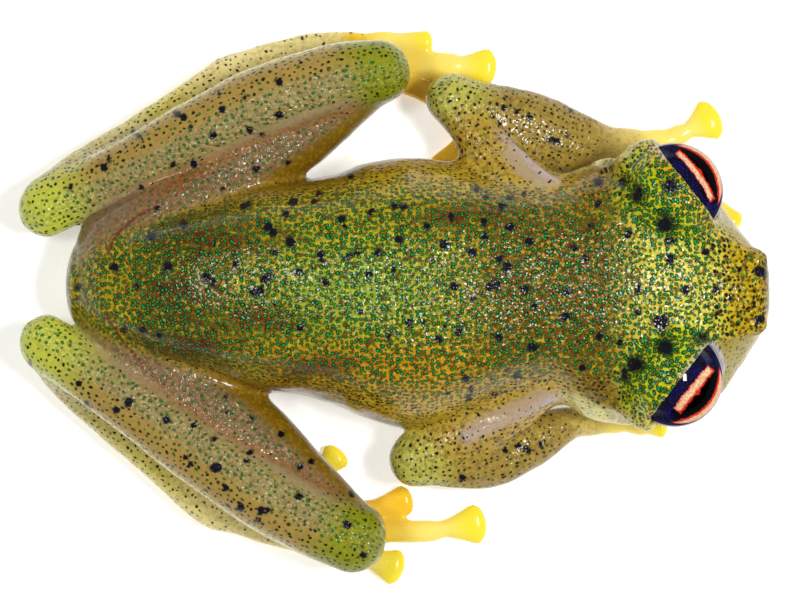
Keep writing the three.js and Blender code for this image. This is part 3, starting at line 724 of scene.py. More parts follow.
def edge_distance(rest, edge):
    """From places given from the start of each straight edge, the distance to the nearest edge."""
    share = np.clip((rest * edge).sum(axis=2) / (edge ** 2).sum(axis=1), 0.0, 1.0)
    return np.linalg.norm(rest - share[..., None] * edge, axis=2).min(axis=1)


def line_distance(path, points):
    """The distance, seen from above, to a line through a few places."""
    path = np.array(path)
    return edge_distance(points[:, None, :2] - path[:-1], np.diff(path, axis=0))


def digit(path, shaft, disc):
    """A shaft that narrows to a neck and spreads into a blunt disc, lying on the floor."""
    half = DIGIT_HALF_HEIGHT
    rows = [[x, y, half - PRESSED, shaft, half] for x, y in path[:-1]]
    before, tip = np.array(path[-2:])
    neck = before + (tip - before) * NECK_PLACE
    rows.append([*neck, half * 0.9 - PRESSED, shaft * NECK_WIDTH, half * 0.9])
    middle = tip + (tip - before) * disc * DISC_AHEAD / np.linalg.norm(tip - before)
    rows.append([*middle, DISC_HALF_HEIGHT - PRESSED, disc, DISC_HALF_HEIGHT])
    return Limb(rows, shaft, disc * DISC_CAP)


def fuse(a, b, reach):
    """The nearer of two forms, melted together where both are within reach of each other."""
    share = np.maximum(reach - np.abs(a - b), 0.0) / reach
    return np.minimum(a, b) - share ** 2 * reach / 4


def carve(a, b, reach):
    """What is in the first form and not in the second, with a softened edge."""
    return -fuse(-a, b, reach)


def build_forms():
    """Every form by its name; the name's last word is the side."""
    forms = {"trunk": Trunk(BODY)}
    for side, sign in SIDES:
        forms[f"lid_{side}"] = Lid(sign)
        forms[f"flap_{side}"] = Limb([[*place, FLAP_EDGE, FLAP_EDGE] for place in FLAPS[side]])
    for side, limbs in LIMBS.items():
        for name, rows in limbs.items():
            forms[f"{name}_{side}"] = Limb(rows)
        for number, one in enumerate(TOES[side]):
            forms[f"toe{number}_{side}"] = digit(*one)
        for number, one in enumerate(FINGERS[side]):
            forms[f"finger{number}_{side}"] = digit(*one)
        for part, outlines in WEBS[side].items():
            for number, outline in enumerate(outlines):
                forms[f"{part}web{number}_{side}"] = Web(outline)
    return forms


FORMS = build_forms()


def measure_near(form, points):
    """The form's measures at the points near it; far off the distance is simply large."""
    near = np.flatnonzero(((points > form.low) & (points < form.high)).all(axis=1))
    columns = [np.full(len(points), FAR)] + [np.zeros(len(points)) for _ in range(5)]
    for start in range(0, len(near), POINTS_AT_ONCE):
        chosen = near[start:start + POINTS_AT_ONCE]
        for column, found in zip(columns, form.measure(points[chosen])):
            column[chosen] = found
    return columns


def mouth_line():
    """Points along the lips, from the left corner round the snout to the right corner."""
    rows = BODY[BODY[:, 0] > NECK_X]
    corner = (MOUTH_CORNER_X - rows[0, 0]) / (rows[-1, 0] - rows[0, 0])
    table = rows_at(rows, np.linspace(corner, 1.0, LIP_STEPS))
    x, mid, lean, wide_w, wide_z = table[:, [0, 1, 2, 6, 7]].T
    y = mid + lean * (wide_z - LEAN_LEVEL)
    left = np.stack([x, y + wide_w, wide_z], axis=1)
    right = np.stack([x, y - wide_w, wide_z], axis=1)[::-1]
    turn = np.linspace(0.0, np.pi, SNOUT_STEPS)[1:-1, None]
    front = left[-1] + (right[0] - left[-1]) * (1 - np.cos(turn)) / 2
    front = front + np.array([SNOUT_CAP, 0.0, 0.1]) * np.sin(turn)
    return np.concatenate([left, front, right])


MOUTH = mouth_line()


def mouth_distance(points):
    """How far places are from the nearest point of the lips' line."""
    nearest = ((MOUTH ** 2).sum(axis=1) - 2 * points @ MOUTH.T).min(axis=1)
    return np.sqrt(np.maximum(nearest + (points ** 2).sum(axis=1), 0.0))


def ring_distance(rest, axis, radius, thickness):
    """A ring of round section about an axis, from places given from its middle."""
    ahead = rest @ axis
    aside = np.sqrt(np.maximum((rest ** 2).sum(axis=1) - ahead ** 2, 0.0))
    return np.hypot(ahead, aside - radius) - thickness


def ball_distance(points, centre, radius):
    return np.linalg.norm(points - np.array(centre), axis=1) - radius


def head_details(points, body, lid, sign):
    """Adds one side's lid with its rolled edge, the lower lid where the eye leaves the cheek, the
    nostril on its swelling and the ring round the eardrum, and opens the socket."""
    centre, gaze = eye_frame(sign)
    rest, away, out = about_eye(points, sign)
    lower_lid = np.hypot(away - EYE_RADIUS, np.maximum(body, -0.05)) - LOWER_LID
    for ahead, aside, above in BROW:
        brow = ball_distance(points, centre + [ahead, sign * aside, above], BROW_RADIUS)
        body = fuse(body, brow, BROW_REACH)
    body = fuse(body, lid, LID_REACH)
    plane = LID_PLANE[sign]
    edge_radius = np.sqrt(EYE_RADIUS ** 2 - plane ** 2) + LID_RIM * 0.9
    edge = ring_distance(rest - gaze * (plane - LID_RIM * 0.6), gaze, edge_radius, LID_RIM)
    body = fuse(body, edge, LID_RIM_REACH)
    body = fuse(body, lower_lid, LOWER_LID_REACH)
    socket = np.maximum(away - EYE_RADIUS + SOCKET_GRIP, plane - 0.02 - out)
    body = carve(body, socket, SOCKET_EDGE)

    nostril = np.array([NOSTRIL_X, NOSTRIL_MIDLINE + sign * NOSTRIL_SPREAD, NOSTRIL_Z])
    pit = nostril + np.array([0.1, sign * 0.24, 0.12])
    body = fuse(body, ball_distance(points, nostril, NOSTRIL_RADIUS), NOSTRIL_REACH)
    body = carve(body, ball_distance(points, pit, NOSTRIL_PIT), PIT_EDGE)
    drum = np.array([EARDRUM_X, HEAD_MIDLINE + sign * EARDRUM_SPREAD, EARDRUM_Z])
    facing = np.array([-0.15, 0.93 * sign, 0.33])
    facing = facing / np.linalg.norm(facing)
    ring = ring_distance(points - drum, facing, EARDRUM_RADIUS, EARDRUM_ROLL)
    return fuse(body, ring, EARDRUM_REACH)


def skin_distance(points):
    """The whole skin: forms melted together limb by limb, then opened at mouth and floor."""
    found = {name: measure_near(form, points)[0] for name, form in FORMS.items()}
    body = found["trunk"]
    for side, sign in SIDES:
        body = head_details(points, body, found[f"lid_{side}"], sign)
        for part, reach in (("thigh", HIP_REACH), ("upper_arm", SHOULDER_REACH),
                            ("flap", FLAP_REACH)):
            body = fuse(body, found[f"{part}_{side}"], reach)
    for side, _ in SIDES:
        ends = {("finger", "handweb"): found[f"palm_{side}"],
                ("toe", "footweb"): found[f"metatarsus_{side}"]}
        for name, distance in found.items():
            for stems, end in ends.items():
                if name.endswith(side) and name.startswith(stems):
                    ends[stems] = fuse(end, distance, DIGIT_REACH)
        hand, foot = ends.values()
        fore = fuse(found[f"forearm_{side}"], hand, WRIST_REACH)
        low = fuse(found[f"tarsus_{side}"], foot, WRIST_REACH)
        leg = fuse(found[f"shank_{side}"], low, FOLD_REACH)
        body = fuse(body, leg, CREASE_REACH)
        body = fuse(body, fore, CROOK_REACH)
    body = carve(body, mouth_distance(points) - MOUTH_DEPTH, MOUTH_EDGE)
    return -fuse(-body, points[:, 2], FLOOR_EDGE)


def zero_surface(low, high, cell):
    """The zero level of the skin's distance on a grid: one point in each cell that it crosses, at
    the mean of the crossings of the cell's edges, and one quad round each crossed grid edge."""
    axes = [np.arange(a, b + cell, cell) for a, b in zip(low, high)]
    grid = np.stack(np.meshgrid(*axes, indexing="ij"), axis=-1)
    shape = grid.shape[:3]
    values = np.concatenate([skin_distance(slab.reshape(-1, 3))
                             for slab in np.array_split(grid, SLABS)]).reshape(shape)
    inside = values < 0
    corners = [(i, j, k) for i in (0, 1) for j in (0, 1) for k in (0, 1)]
    views = [inside[i:shape[0] - 1 + i, j:shape[1] - 1 + j, k:shape[2] - 1 + k]
             for i, j, k in corners]
    count = sum(view.astype(np.int8) for view in views)
    active = np.argwhere((count > 0) & (count < 8))
    index = np.full([n - 1 for n in shape], -1)
    index[tuple(active.T)] = np.arange(len(active))
    total = np.zeros((len(active), 3))
    crossings = np.zeros(len(active))
    for a in corners:
        for axis in range(3):
            if a[axis] == 1:
                continue
            b = tuple(v + (n == axis) for n, v in enumerate(a))
            va = values[tuple((active + a).T)]
            vb = values[tuple((active + b).T)]
            crossed = (va < 0) != (vb < 0)
            share = np.where(crossed, va / np.where(crossed, va - vb, 1.0), 0.0)
            spot = np.array(a, float) + share[:, None] * (np.array(b) - np.array(a))
            total += np.where(crossed[:, None], spot, 0.0)
            crossings += crossed
    points = np.array([axis[0] for axis in axes]) + (active + total / crossings[:, None]) * cell
    quads = []
    for axis in range(3):
        other = [n for n in range(3) if n != axis]
        ahead = np.roll(inside, -1, axis=axis)
        edges = np.argwhere(inside != ahead)
        keep = (edges[:, axis] < shape[axis] - 1)
        for n in other:
            keep &= (edges[:, n] > 0) & (edges[:, n] < shape[n] - 1)
        edges = edges[keep]
        ring = []
        for da, db in ((-1, -1), (0, -1), (0, 0), (-1, 0)):
            shift = np.zeros(3, int)
            shift[other[0]] = da
            shift[other[1]] = db
            ring.append(index[tuple((edges + shift).T)])
        quad = np.stack(ring, axis=1)
        outward = inside[tuple(edges.T)]
        if axis == 1:
            outward = ~outward
        quad[~outward] = quad[~outward][:, ::-1]
        quads.append(quad)
    return points, np.concatenate(quads)


def slope_of(function, points, nudge=0.03):
    """The direction in which a field grows, from its values a little ahead and behind."""
    return np.stack([(function(points + axis * nudge) - function(points - axis * nudge))
                     / (2 * nudge) for axis in np.eye(3)], axis=1)


def settle(points, rounds=2):
    """Moves points straight onto the skin's zero level."""
    for _ in range(rounds):
        slope = slope_of(skin_distance, points)
        steep = np.maximum((slope ** 2).sum(axis=1), 0.25)
        step = -skin_distance(points)[:, None] * slope / steep[:, None]
        length = np.linalg.norm(step, axis=1, keepdims=True)
        points = points + step * np.minimum(1.0, CELL * 0.6 / np.maximum(length, 1e-9))
    return points


def lattice_noise(points, size, seed):
    """Smooth noise from -1 to 1: a random number at each corner of a lattice, eased between."""
    place = points / size
    base = np.floor(place).astype(np.int64)
    part = place - base
    ease = part * part * (3 - 2 * part)
    total = np.zeros(len(points))
    for corner in np.ndindex(2, 2, 2):
        x, y, z = (base + corner).T
        mixed = ((x * SCRAMBLE[0]) ^ (y * SCRAMBLE[1]) ^ (z * SCRAMBLE[2])
                 ^ (seed * SCRAMBLE[3]))
        mixed = (mixed ^ (mixed >> 13)) * SCRAMBLE[4]
        value = ((mixed ^ (mixed >> 16)) & 0xFFFF) / 32767.5 - 1.0
        weight = np.prod(np.where(corner, ease, 1 - ease), axis=1)
        total += value * weight
    return total


def point_normals(points, quads):
    """The mean direction of the faces round each point, weighed by their areas."""
    faces = np.cross(points[quads[:, 2]] - points[quads[:, 0]],
                     points[quads[:, 3]] - points[quads[:, 1]])
    total = np.zeros_like(points)
    for corner in range(4):
        for axis in range(3):
            total[:, axis] += np.bincount(quads[:, corner], faces[:, axis], len(points))
    return total / np.maximum(np.linalg.norm(total, axis=1, keepdims=True), 1e-12)


def smooth_step(value, low, high):
    t = np.clip((value - low) / (high - low), 0.0, 1.0)
    return t * t * (3 - 2 * t)


def fall(value, low, high):
    """1 below low, 0 above high, and a smooth fall between."""
    return 1.0 - smooth_step(value, low, high)


def show(name, mesh, material):
    """Puts a smooth mesh with its material into the scene, at the origin."""
    mesh.update()
    mesh.validate()
    mesh.shade_smooth()
    mesh.materials.append(material)
    return put(name, mesh)


def array_mesh(name, points, faces):
    """A mesh in metres from points in millimetres and faces of equal corner counts."""
    mesh = bpy.data.meshes.new(name)
    mesh.vertices.add(len(points))
    mesh.vertices.foreach_set("co", (points * MM).astype(np.float32).ravel())
    mesh.loops.add(faces.size)
    mesh.loops.foreach_set("vertex_index", faces.astype(np.int32).ravel())
    mesh.polygons.add(len(faces))
    starts = np.arange(0, faces.size, faces.shape[1], dtype=np.int32)
    mesh.polygons.foreach_set("loop_start", starts)
    return mesh


def carry(piece, name, values, domain="POINT"):
    """Gives the mesh a number, a vector or a colour at each point or each face corner."""
    values = np.asarray(values, np.float32)
    width = 1 if values.ndim == 1 else values.shape[1]
    kind, field = {1: ("FLOAT", "value"), 3: ("FLOAT_VECTOR", "vector"),
                   4: ("FLOAT_COLOR", "color")}[width]
    layer = piece.data.attributes.new(name, kind, domain)
    layer.data.foreach_set(field, values.ravel())


# The skin's colours, region by region, each as it looks between the dots

GROUND = {name: np.array(srgb(*tone)[:3]) for name, tone in {
    "back": (166, 138, 0), "green_back": (124, 168, 40), "rear": (90, 72, 0),
    # The crown's tone is lighter and greyer than the skin's own there: part of it is painted sheen
    "right_back": (190, 134, 0), "nape": (116, 78, 0), "crown": (214, 204, 70),
    "lid": (184, 196, 0), "lid_edge": (236, 158, 0), "rim": (188, 182, 196), "snout": (184, 152, 0),
    "snout_front": (110, 62, 16), "lore": (160, 144, 62), "cheek": (220, 212, 136),
    "belly": (206, 204, 160), "flank": (184, 150, 44), "rump": (150, 130, 30),
    "crease": (124, 92, 16), "hip": (128, 100, 76), "thigh": (128, 100, 68),
    "thigh_red": (136, 80, 36), "shank": (156, 138, 86), "shank_inner": (160, 142, 104),
    "shank_outer": (166, 136, 66), "knee": (136, 140, 26), "heel": (194, 200, 70),
    "tarsus": (200, 186, 106), "ankle": (238, 220, 146), "tarsus_spot": (216, 202, 66),
    "upper_arm": (174, 140, 52), "elbow": (182, 178, 80), "forearm": (154, 128, 58),
    "wrist": (222, 196, 110), "membrane": (170, 150, 128), "membrane_edge": (186, 172, 178),
    "toe_root": (250, 204, 56), "digit": (253, 230, 112), "tip": (253, 230, 60),
    "web": (248, 190, 34), "mouth": (60, 40, 24),
}.items()}

# Large dark marks: x, y and radius, as seen from above
HEAD_MARKS = np.array([
    [8.2, 5.0, 0.13], [9.1, 5.0, 0.13], [9.7, 4.4, 0.13], [9.75, 4.65, 0.11], [8.1, 4.1, 0.14],
    [11.0, 4.8, 0.2], [10.8, 3.3, 0.26], [7.8, 3.2, 0.11], [9.3, 2.9, 0.15], [7.2, 2.4, 0.1],
    [11.0, 2.6, 0.14], [11.0, 1.9, 0.17], [12.4, 2.2, 0.13], [11.6, 0.7, 0.16], [9.7, 0.7, 0.15],
    [13.8, 1.5, 0.12], [14.6, 1.4, 0.19], [12.8, 0.7, 0.12], [7.6, 1.9, 0.12], [6.9, 0.6, 0.12],
    [10.6, -0.6, 0.3], [10.8, -1.6, 0.24], [9.6, -2.3, 0.23], [9.2, -2.8, 0.11],
    [9.18, -2.6, 0.1], [8.2, -1.2, 0.13], [9.0, -1.4, 0.12], [7.3, -1.4, 0.09],
    [7.5, -2.4, 0.12], [12.9, -0.2, 0.1], [13.9, -0.2, 0.1], [14.6, -0.5, 0.16],
    [14.4, -0.7, 0.1], [6.8, -0.4, 0.16], [9.7, -0.2, 0.12], [12.3, -1.2, 0.1],
])
BACK_MARKS = np.array([
    [-5.0, 3.2, 0.17], [-4.8, 2.95, 0.14], [-4.1, 2.6, 0.18], [-4.8, 2.2, 0.14],
    [-6.3, 1.7, 0.14], [-3.8, 1.4, 0.16], [-7.5, 1.2, 0.13], [-7.2, 1.0, 0.13],
    [-5.1, 1.1, 0.15], [-5.0, 1.2, 0.12], [-5.6, 0.6, 0.14], [-5.3, 0.62, 0.15],
    [-2.9, 2.1, 0.16], [-2.8, 1.8, 0.12], [-2.7, 1.0, 0.14], [-4.0, 4.2, 0.17],
    [-4.3, 3.7, 0.14], [-6.0, 4.0, 0.12], [-5.8, 4.1, 0.1], [-3.0, 4.5, 0.1],
    [-3.2, 4.2, 0.1], [-2.1, 3.5, 0.12], [-2.0, 3.2, 0.1], [-1.8, 2.0, 0.12],
    [-1.4, 2.2, 0.13], [-8.4, 3.3, 0.14], [-7.1, 2.5, 0.09], [-1.7, 5.2, 0.1],
    [-3.7, -0.8, 0.14], [-0.9, 3.8, 0.13], [0.0, 4.0, 0.13], [0.4, 4.0, 0.14],
    [1.3, 3.2, 0.13], [2.3, 3.6, 0.14], [0.2, 2.7, 0.13], [-0.6, 2.2, 0.15],
    [2.0, 2.5, 0.16], [3.1, 2.2, 0.16], [3.6, 3.4, 0.13], [4.3, 4.0, 0.13],
    [4.6, 3.2, 0.14], [5.4, 2.6, 0.15], [3.6, 2.8, 0.13], [4.2, 1.9, 0.13],
    [4.5, 1.6, 0.17], [-1.0, 1.3, 0.15], [0.0, 1.5, 0.12], [2.4, 0.8, 0.15],
    [3.1, 0.3, 0.13], [3.8, 0.8, 0.16], [4.1, 0.9, 0.12], [5.2, 0.7, 0.16],
    [5.6, 0.0, 0.14], [-1.3, -0.2, 0.12], [-0.2, -1.1, 0.13], [0.6, -0.6, 0.14],
    [1.2, -0.6, 0.12], [2.6, -1.0, 0.12], [4.2, -1.2, 0.15], [5.5, -1.6, 0.17],
    [1.8, -1.3, 0.14], [-11.2, 1.6, 0.17], [-9.0, 1.6, 0.18], [-9.7, 2.8, 0.15],
    [-12.6, 0.8, 0.1], [-10.8, -0.9, 0.12], [-10.0, -0.9, 0.13], [-12.2, -0.9, 0.1],
    [-10.2, 0.8, 0.1], [2.85, -2.85, 0.14], [4.9, -2.75, 0.13], [3.0, -3.6, 0.12],
    [3.05, -3.25, 0.1], [4.0, -3.5, 0.1], [4.45, -3.4, 0.08], [3.3, 4.7, 0.1], [3.65, 4.35, 0.11],
    [4.6, 4.35, 0.09], [4.25, 3.95, 0.12], [3.7, 5.2, 0.08], [5.2, 4.5, 0.08],
])

LIMB_MARKS = np.array([
    [-12.96, 4.8, 0.13], [-11.65, 5.6, 0.13], [-11.4, 5.9, 0.1], [-10.2, 6.84, 0.1],
    [-10.5, 7.0, 0.08], [-8.7, 7.74, 0.1], [-8.4, 7.55, 0.12], [-6.9, 7.86, 0.12],
    [-7.0, 8.56, 0.1], [-6.0, 8.4, 0.1], [-4.6, 9.0, 0.13], [-7.2, 6.85, 0.14],
    [-5.74, 7.06, 0.12], [-4.57, 7.7, 0.13], [-8.83, 5.68, 0.1], [-8.0, 5.72, 0.13],
    [-10.1, 4.77, 0.1], [-8.1, 7.2, 0.08], [-5.5, 5.5, 0.13], [-6.8, 4.7, 0.1],
    [-9.44, 3.94, 0.12], [-5.3, 6.9, 0.08], [-4.2, 5.8, 0.1],
    [-12.6, -3.05, 0.11], [-10.6, -3.8, 0.17], [-11.1, -4.1, 0.12], [-12.3, -3.9, 0.09],
    [-9.1, -4.5, 0.14], [-8.0, -4.7, 0.12], [-7.2, -5.3, 0.12], [-7.1, -6.4, 0.2],
    [-8.35, -6.0, 0.08], [-8.1, -6.3, 0.09], [-6.7, -7.2, 0.12], [-5.9, -6.2, 0.1],
    [-5.75, -5.8, 0.1], [-6.1, -8.0, 0.12], [-5.3, -8.15, 0.14], [-5.0, -8.1, 0.1],
    [-5.4, -8.5, 0.1], [-3.8, -7.55, 0.14], [-1.85, -8.7, 0.14], [-1.2, -9.9, 0.12],
    [-1.7, -7.5, 0.1], [-3.3, -6.2, 0.1], [-3.75, -6.4, 0.1], [-4.5, -5.1, 0.11],
    [-5.7, -4.4, 0.1], [-6.7, -4.25, 0.1], [-6.75, -3.6, 0.1], [-14.6, -2.3, 0.08],
    [4.4, 8.0, 0.1], [4.9, 7.8, 0.08], [5.4, 7.6, 0.12], [3.9, 7.7, 0.08], [4.25, 7.35, 0.08],
    [7.1, 7.9, 0.08], [6.3, 6.7, 0.09], [6.55, 6.65, 0.1], [6.9, 6.9, 0.07],
    [4.4, -5.7, 0.11], [5.0, -5.6, 0.12], [5.4, -5.8, 0.11], [5.25, -5.65, 0.08],
    [2.75, -6.8, 0.1], [2.65, -5.2, 0.08], [5.9, -5.5, 0.08],
])

# Maroon patches of the rear back: x, y, half length and half width
BROWN_PATCHES = np.array([
    [-6.4, 2.7, 2.1, 0.8], [-5.6, -0.5, 2.0, 0.7], [-8.4, 0.7, 1.3, 0.4],
    [-3.2, -2.4, 2.0, 0.6], [-7.8, -1.6, 1.8, 0.5], [2.6, 3.6, 1.8, 0.6],
])

# Two points on the head's side each, forward one second: where its pale sides begin
CANTHUS = {"left": ((12.8, 3.2), (14.5, 2.0)), "right": ((12.9, -1.3), (14.6, -0.9))}
CHEEK_TOP = {"left": ((6.8, 5.2), (9.6, 5.9)), "right": ((6.8, -3.2), (10.4, -4.7))}

# A line along the middle of the thin skin that spans each armpit
FLAP_MIDDLES = {"left": [[4.7, 6.1], [5.1, 5.6], [5.9, 5.1]],
                "right": [[3.3, -4.8], [4.6, -4.2], [5.9, -3.6]]}

# A vein in the fold between thigh and rump, on both sides
VEINS = [[[-11.45, 2.1], [-11.1, 2.9], [-10.3, 3.6], [-9.5, 4.0]],
         [[-11.5, -0.2], [-11.1, -1.0], [-10.4, -1.9], [-9.8, -2.6]]]


class Survey:
    """The skin's points, their measures on every form, and each form's share of every point."""

    KINDS = {"finger": "digit", "toe": "digit", "handweb": "web", "footweb": "web",
             "metatarsus": "foot", "palm": "hand"}

    def __init__(self, points, normals):
        self.points = points
        self.up = normals[:, 2]
        self.names = list(FORMS)
        self.measures = {name: measure_near(form, points) for name, form in FORMS.items()}
        self.distances = np.stack([self.measures[name][0] for name in self.names])
        past = np.clip(self.distances - self.distances.min(axis=0), 0, 4)
        share = np.exp(-past / COLOUR_REACH)
        self.share = dict(zip(self.names, share / share.sum(axis=0)))

    def kind(self, *kinds):
        """How much of every point belongs to the forms of these kinds."""
        total = np.zeros(len(self.points))
        for name in self.names:
            stem = name.rsplit("_", 1)[0].rstrip("0123456789")
            if self.KINDS.get(stem, stem) in kinds:
                total += self.share[name]
        return total

    def pick(self, column, kind):
        """A measure on a kind of limb, taken from the nearer of the two sides; the angle of a
        right limb changes its sign, so that both sides are read alike."""
        left = self.measures[f"{kind}_left"]
        right = self.measures[f"{kind}_right"]
        turned = -right[column] if column == 3 else right[column]
        return np.where(left[0] < right[0], left[column], turned)


def layered(base, *coats):
    """A ground colour with others laid over it, each by its own share at every point."""
    tone = np.zeros((len(coats[0][1]), 3)) + GROUND[base]
    for name, share in coats:
        tone += (GROUND[name] - tone) * np.clip(share, 0, 1)[:, None]
    return tone


def lay(look, share, **amounts):
    """Adds its own amount to each marking, by a form's share of every point."""
    for name, amount in amounts.items():
        look[name] += (share[:, None] if name == "ground" else share) * amount


def tint(look, name, share):
    """Moves the ground colour some of the way to a named one."""
    look["ground"] += (GROUND[name] - look["ground"]) * share[:, None]


def beyond(line, x, y):
    """How far places lie outwards, away from the midline, of a straight line on the head."""
    (x0, y0), (x1, y1) = line
    ahead = np.array([x1 - x0, y1 - y0])
    length = np.hypot(*ahead)
    aside = ((y - y0) * ahead[0] - (x - x0) * ahead[1]) / length
    return aside if y0 > EYE_MIDLINE else -aside


def head_sides(x, y):
    """The pale sides of the snout, and the pale warty cheeks."""
    lore = sum(smooth_step(beyond(CANTHUS[side], x, y), -0.12, 0.25) for side, _ in SIDES)
    cheek = sum(smooth_step(beyond(CHEEK_TOP[side], x, y), -0.1, 0.35) for side, _ in SIDES)
    return lore * smooth_step(x, 12.0, 12.9), cheek * smooth_step(x, 6.2, 7.4) * fall(x, 8.8, 9.8)


def lid_zones(survey):
    """The lids' domes, how close a place on them is to the eye's opening, and the opening's pale
    rim, which begins partway along it."""
    dome, glow, rim = np.zeros((3, len(survey.points)))
    for _, sign in SIDES:
        rest, away, out = about_eye(survey.points, sign)
        beside = rest @ np.cross([0.0, 0.0, 1.0], eye_frame(sign)[1])
        high = smooth_step(survey.points[:, 2], 4.6, 5.4)
        dome = np.maximum(dome, fall(away, 2.1, 2.7) * high)
        glow = np.maximum(glow, smooth_step(out, -0.5, 0.55) * fall(away, 2.3, 2.8))
        corner = smooth_step(beside, RIM_START[sign], RIM_START[sign] + 0.5)
        rim = np.maximum(rim, fall(away, EYE_RADIUS + 0.14, EYE_RADIUS + 0.26) * corner
                         * smooth_step(out, LID_PLANE[sign] - 0.25, LID_PLANE[sign] - 0.08))
    return dome, glow, rim


def paint_trunk(survey, look):
    """Colour and markings of trunk, head and lids."""
    x, y, _ = survey.points.T
    turn = np.abs(survey.measures["trunk"][3])
    flank = smooth_step(turn, 0.75, 1.5)
    under = smooth_step(turn, 1.75, 2.3)
    lore, cheek = head_sides(x, y)
    rump = fall(x, -12.5, -11.6)
    crease = smooth_step(turn, 1.15, 1.6) * fall(x, -1.5, 0.5)
    snout = smooth_step(x, 12.8, 13.8)
    near_eye, glow, rim = lid_zones(survey)
    plain = (1 - under) * (1 - lore) * (1 - cheek) * (1 - rim)
    middle = np.exp(-((x + 1.5) / 4.5) ** 2 - ((y - 0.7) / 2.6) ** 2)
    shine = np.exp(-((x - 5.0) / 7.5) ** 2 - ((y - 1.0) / 3.0) ** 2)
    patches = [np.exp(-((x - px) / length) ** 2 - ((y - py) / width) ** 2)
               for px, py, length, width in BROWN_PATCHES]
    # The crown's tone holds painted sheen as well as its own colour
    tone = layered(
        "back", ("green_back", middle * 0.75),
        ("rear", fall(x, -8.5, -5.0) * smooth_step(x, -11.2, -9.4)),
        ("right_back", fall(y, -2.4, -0.6) * smooth_step(x, -7.0, -4.0)),
        ("nape", smooth_step(x, 1.8, 4.8)), ("crown", smooth_step(x, 8.0, 10.5)),
        ("flank", flank * fall(x, 6.5, 8.5)), ("crease", crease), ("rump", rump),
        ("snout", smooth_step(x, 12.6, 13.7)),
        ("snout_front", smooth_step(x, 14.55, 14.95) * smooth_step(y, -0.6, 1.2)),
        ("lid", near_eye), ("lid_edge", near_eye * glow * 0.6), ("lore", lore), ("cheek", cheek),
        ("belly", under), ("rim", rim * 0.85),
        ("mouth", fall(mouth_distance(survey.points), 0.1, 0.24)))
    # The dots' emerald cores are painted light: full on the back, dimmed on the flanks as painted
    # shade where they face away from the light, and dimmer on the snout
    lay(look, survey.kind("trunk", "lid"), ground=tone, shade=near_eye,
        dots=plain * (1 - rump * 0.5) * (1 - crease * 0.75)
        * (1 - snout * 0.42 + near_eye * 0.6 - flank * 0.6),
        spots=(1 - under) * (1 - rim) * (lore * 0.6 + cheek * 0.35 + rump * 0.4),
        green=(1 - flank * 0.65) * (1 - 0.65 * smooth_step(x, 12.0, 13.2)),
        flecks=plain * (0.14 + 0.2 * fall(y, -1.5, 0.0)) * fall(x, 6.5, 9.0),
        brown=plain * np.max(patches, axis=0),
        net=(1 - 0.6 * under) * (1 - 0.5 * cheek) * (1 - 0.8 * lore) * (1 - 0.5 * flank),
        grain=(1 - 0.8 * lore) * (1 - 0.9 * crease) * (1 - rim) * (1 - 0.7 * rump)
        * (1 - 0.75 * flank) * (0.4 + shine + 0.5 * near_eye))


def paint_legs(survey, look):
    """Colour and markings of the legs: each shank has a grainy wet band, an ochre outer side and a
    plain strip towards the thigh. A dark reddish line of painted shade runs in the crease between
    shank and thigh, and the fold between shank and tarsus takes the shank's outer tone."""
    shank = survey.kind("shank")
    t = survey.pick(1, "shank")
    inner = survey.pick(3, "shank")
    band = smooth_step(inner, -0.45, 0.0) * fall(inner, 0.5, 0.75)
    strip = smooth_step(inner, 0.55, 0.8)
    ends = np.maximum(fall(t, 0.06, 0.2), smooth_step(t, 0.76, 0.92))
    tone = layered(
        "shank", ("shank_outer", fall(inner, -0.45, 0.05)), ("shank_inner", strip),
        ("tarsus", fall(inner, -1.35, -0.95)), ("knee", fall(t, 0.05, 0.2)),
        ("heel", smooth_step(t, 0.74, 0.95)))
    # Painted light: the dots' emerald cores are brighter on the wet band, which faces the light, and
    # darker off it
    lay(look, shank, ground=tone, spots=(1 - strip * (1 - ends)) * 0.95, green=0.3 + 0.65 * band,
        flecks=(1 - strip) * 0.3, net=0.15 + 0.1 * band, grain=0.1 + 2.2 * band)

    thigh = survey.kind("thigh")
    t = survey.pick(1, "thigh")
    outer = survey.pick(3, "thigh")
    body_side = fall(outer, -0.75, -0.4)
    band = smooth_step(outer, -0.6, -0.3) * fall(outer, 0.35, 0.7) * smooth_step(t, 0.02, 0.12)
    # Painted shade: a dark line along the crease where the shank lies on the thigh
    crease_shade = (4 * shank * thigh) ** 2 * smooth_step(t, 0.1, 0.3) * fall(t, 0.7, 0.85)
    tone = layered(
        "thigh", ("thigh_red", smooth_step(outer, 0.1, 0.45)), ("crease", body_side),
        ("hip", fall(t, 0.05, 0.3)), ("knee", smooth_step(t, 0.9, 1.0) * 0.6))
    lay(look, thigh, ground=tone, spots=(1 - body_side) * (0.4 + 0.45 * smooth_step(t, 0.1, 0.3)),
        green=0.85, flecks=(1 - body_side) * 0.2, net=0.25, grain=0.08 + 1.5 * band)

    tarsus = survey.kind("tarsus")
    t = survey.pick(1, "tarsus")
    tone = layered(
        "tarsus", ("heel", fall(t, 0.0, 0.25)), ("ankle", smooth_step(t, 0.3, 0.7)),
        ("tarsus_spot", 0.6 * np.exp(-((t - 0.62) / 0.15) ** 2)))
    lay(look, tarsus, ground=tone, spots=0.6, green=0.1, flecks=0.12, net=0.3, grain=0.25)
    tone = layered("ankle", ("toe_root", smooth_step(survey.pick(1, "metatarsus"), 0.85, 1.0)))
    lay(look, survey.kind("foot"), ground=tone, spots=0.25, net=0.25, grain=0.15)

    fold = 4 * shank * tarsus
    # Lays the painted shade of the shank–thigh crease, in the thigh's dark reddish tone
    tint(look, "thigh_red", crease_shade * 0.65)
    tint(look, "shank_outer", fold * 0.6)
    lay(look, fold, spots=0.3, grain=0.7)


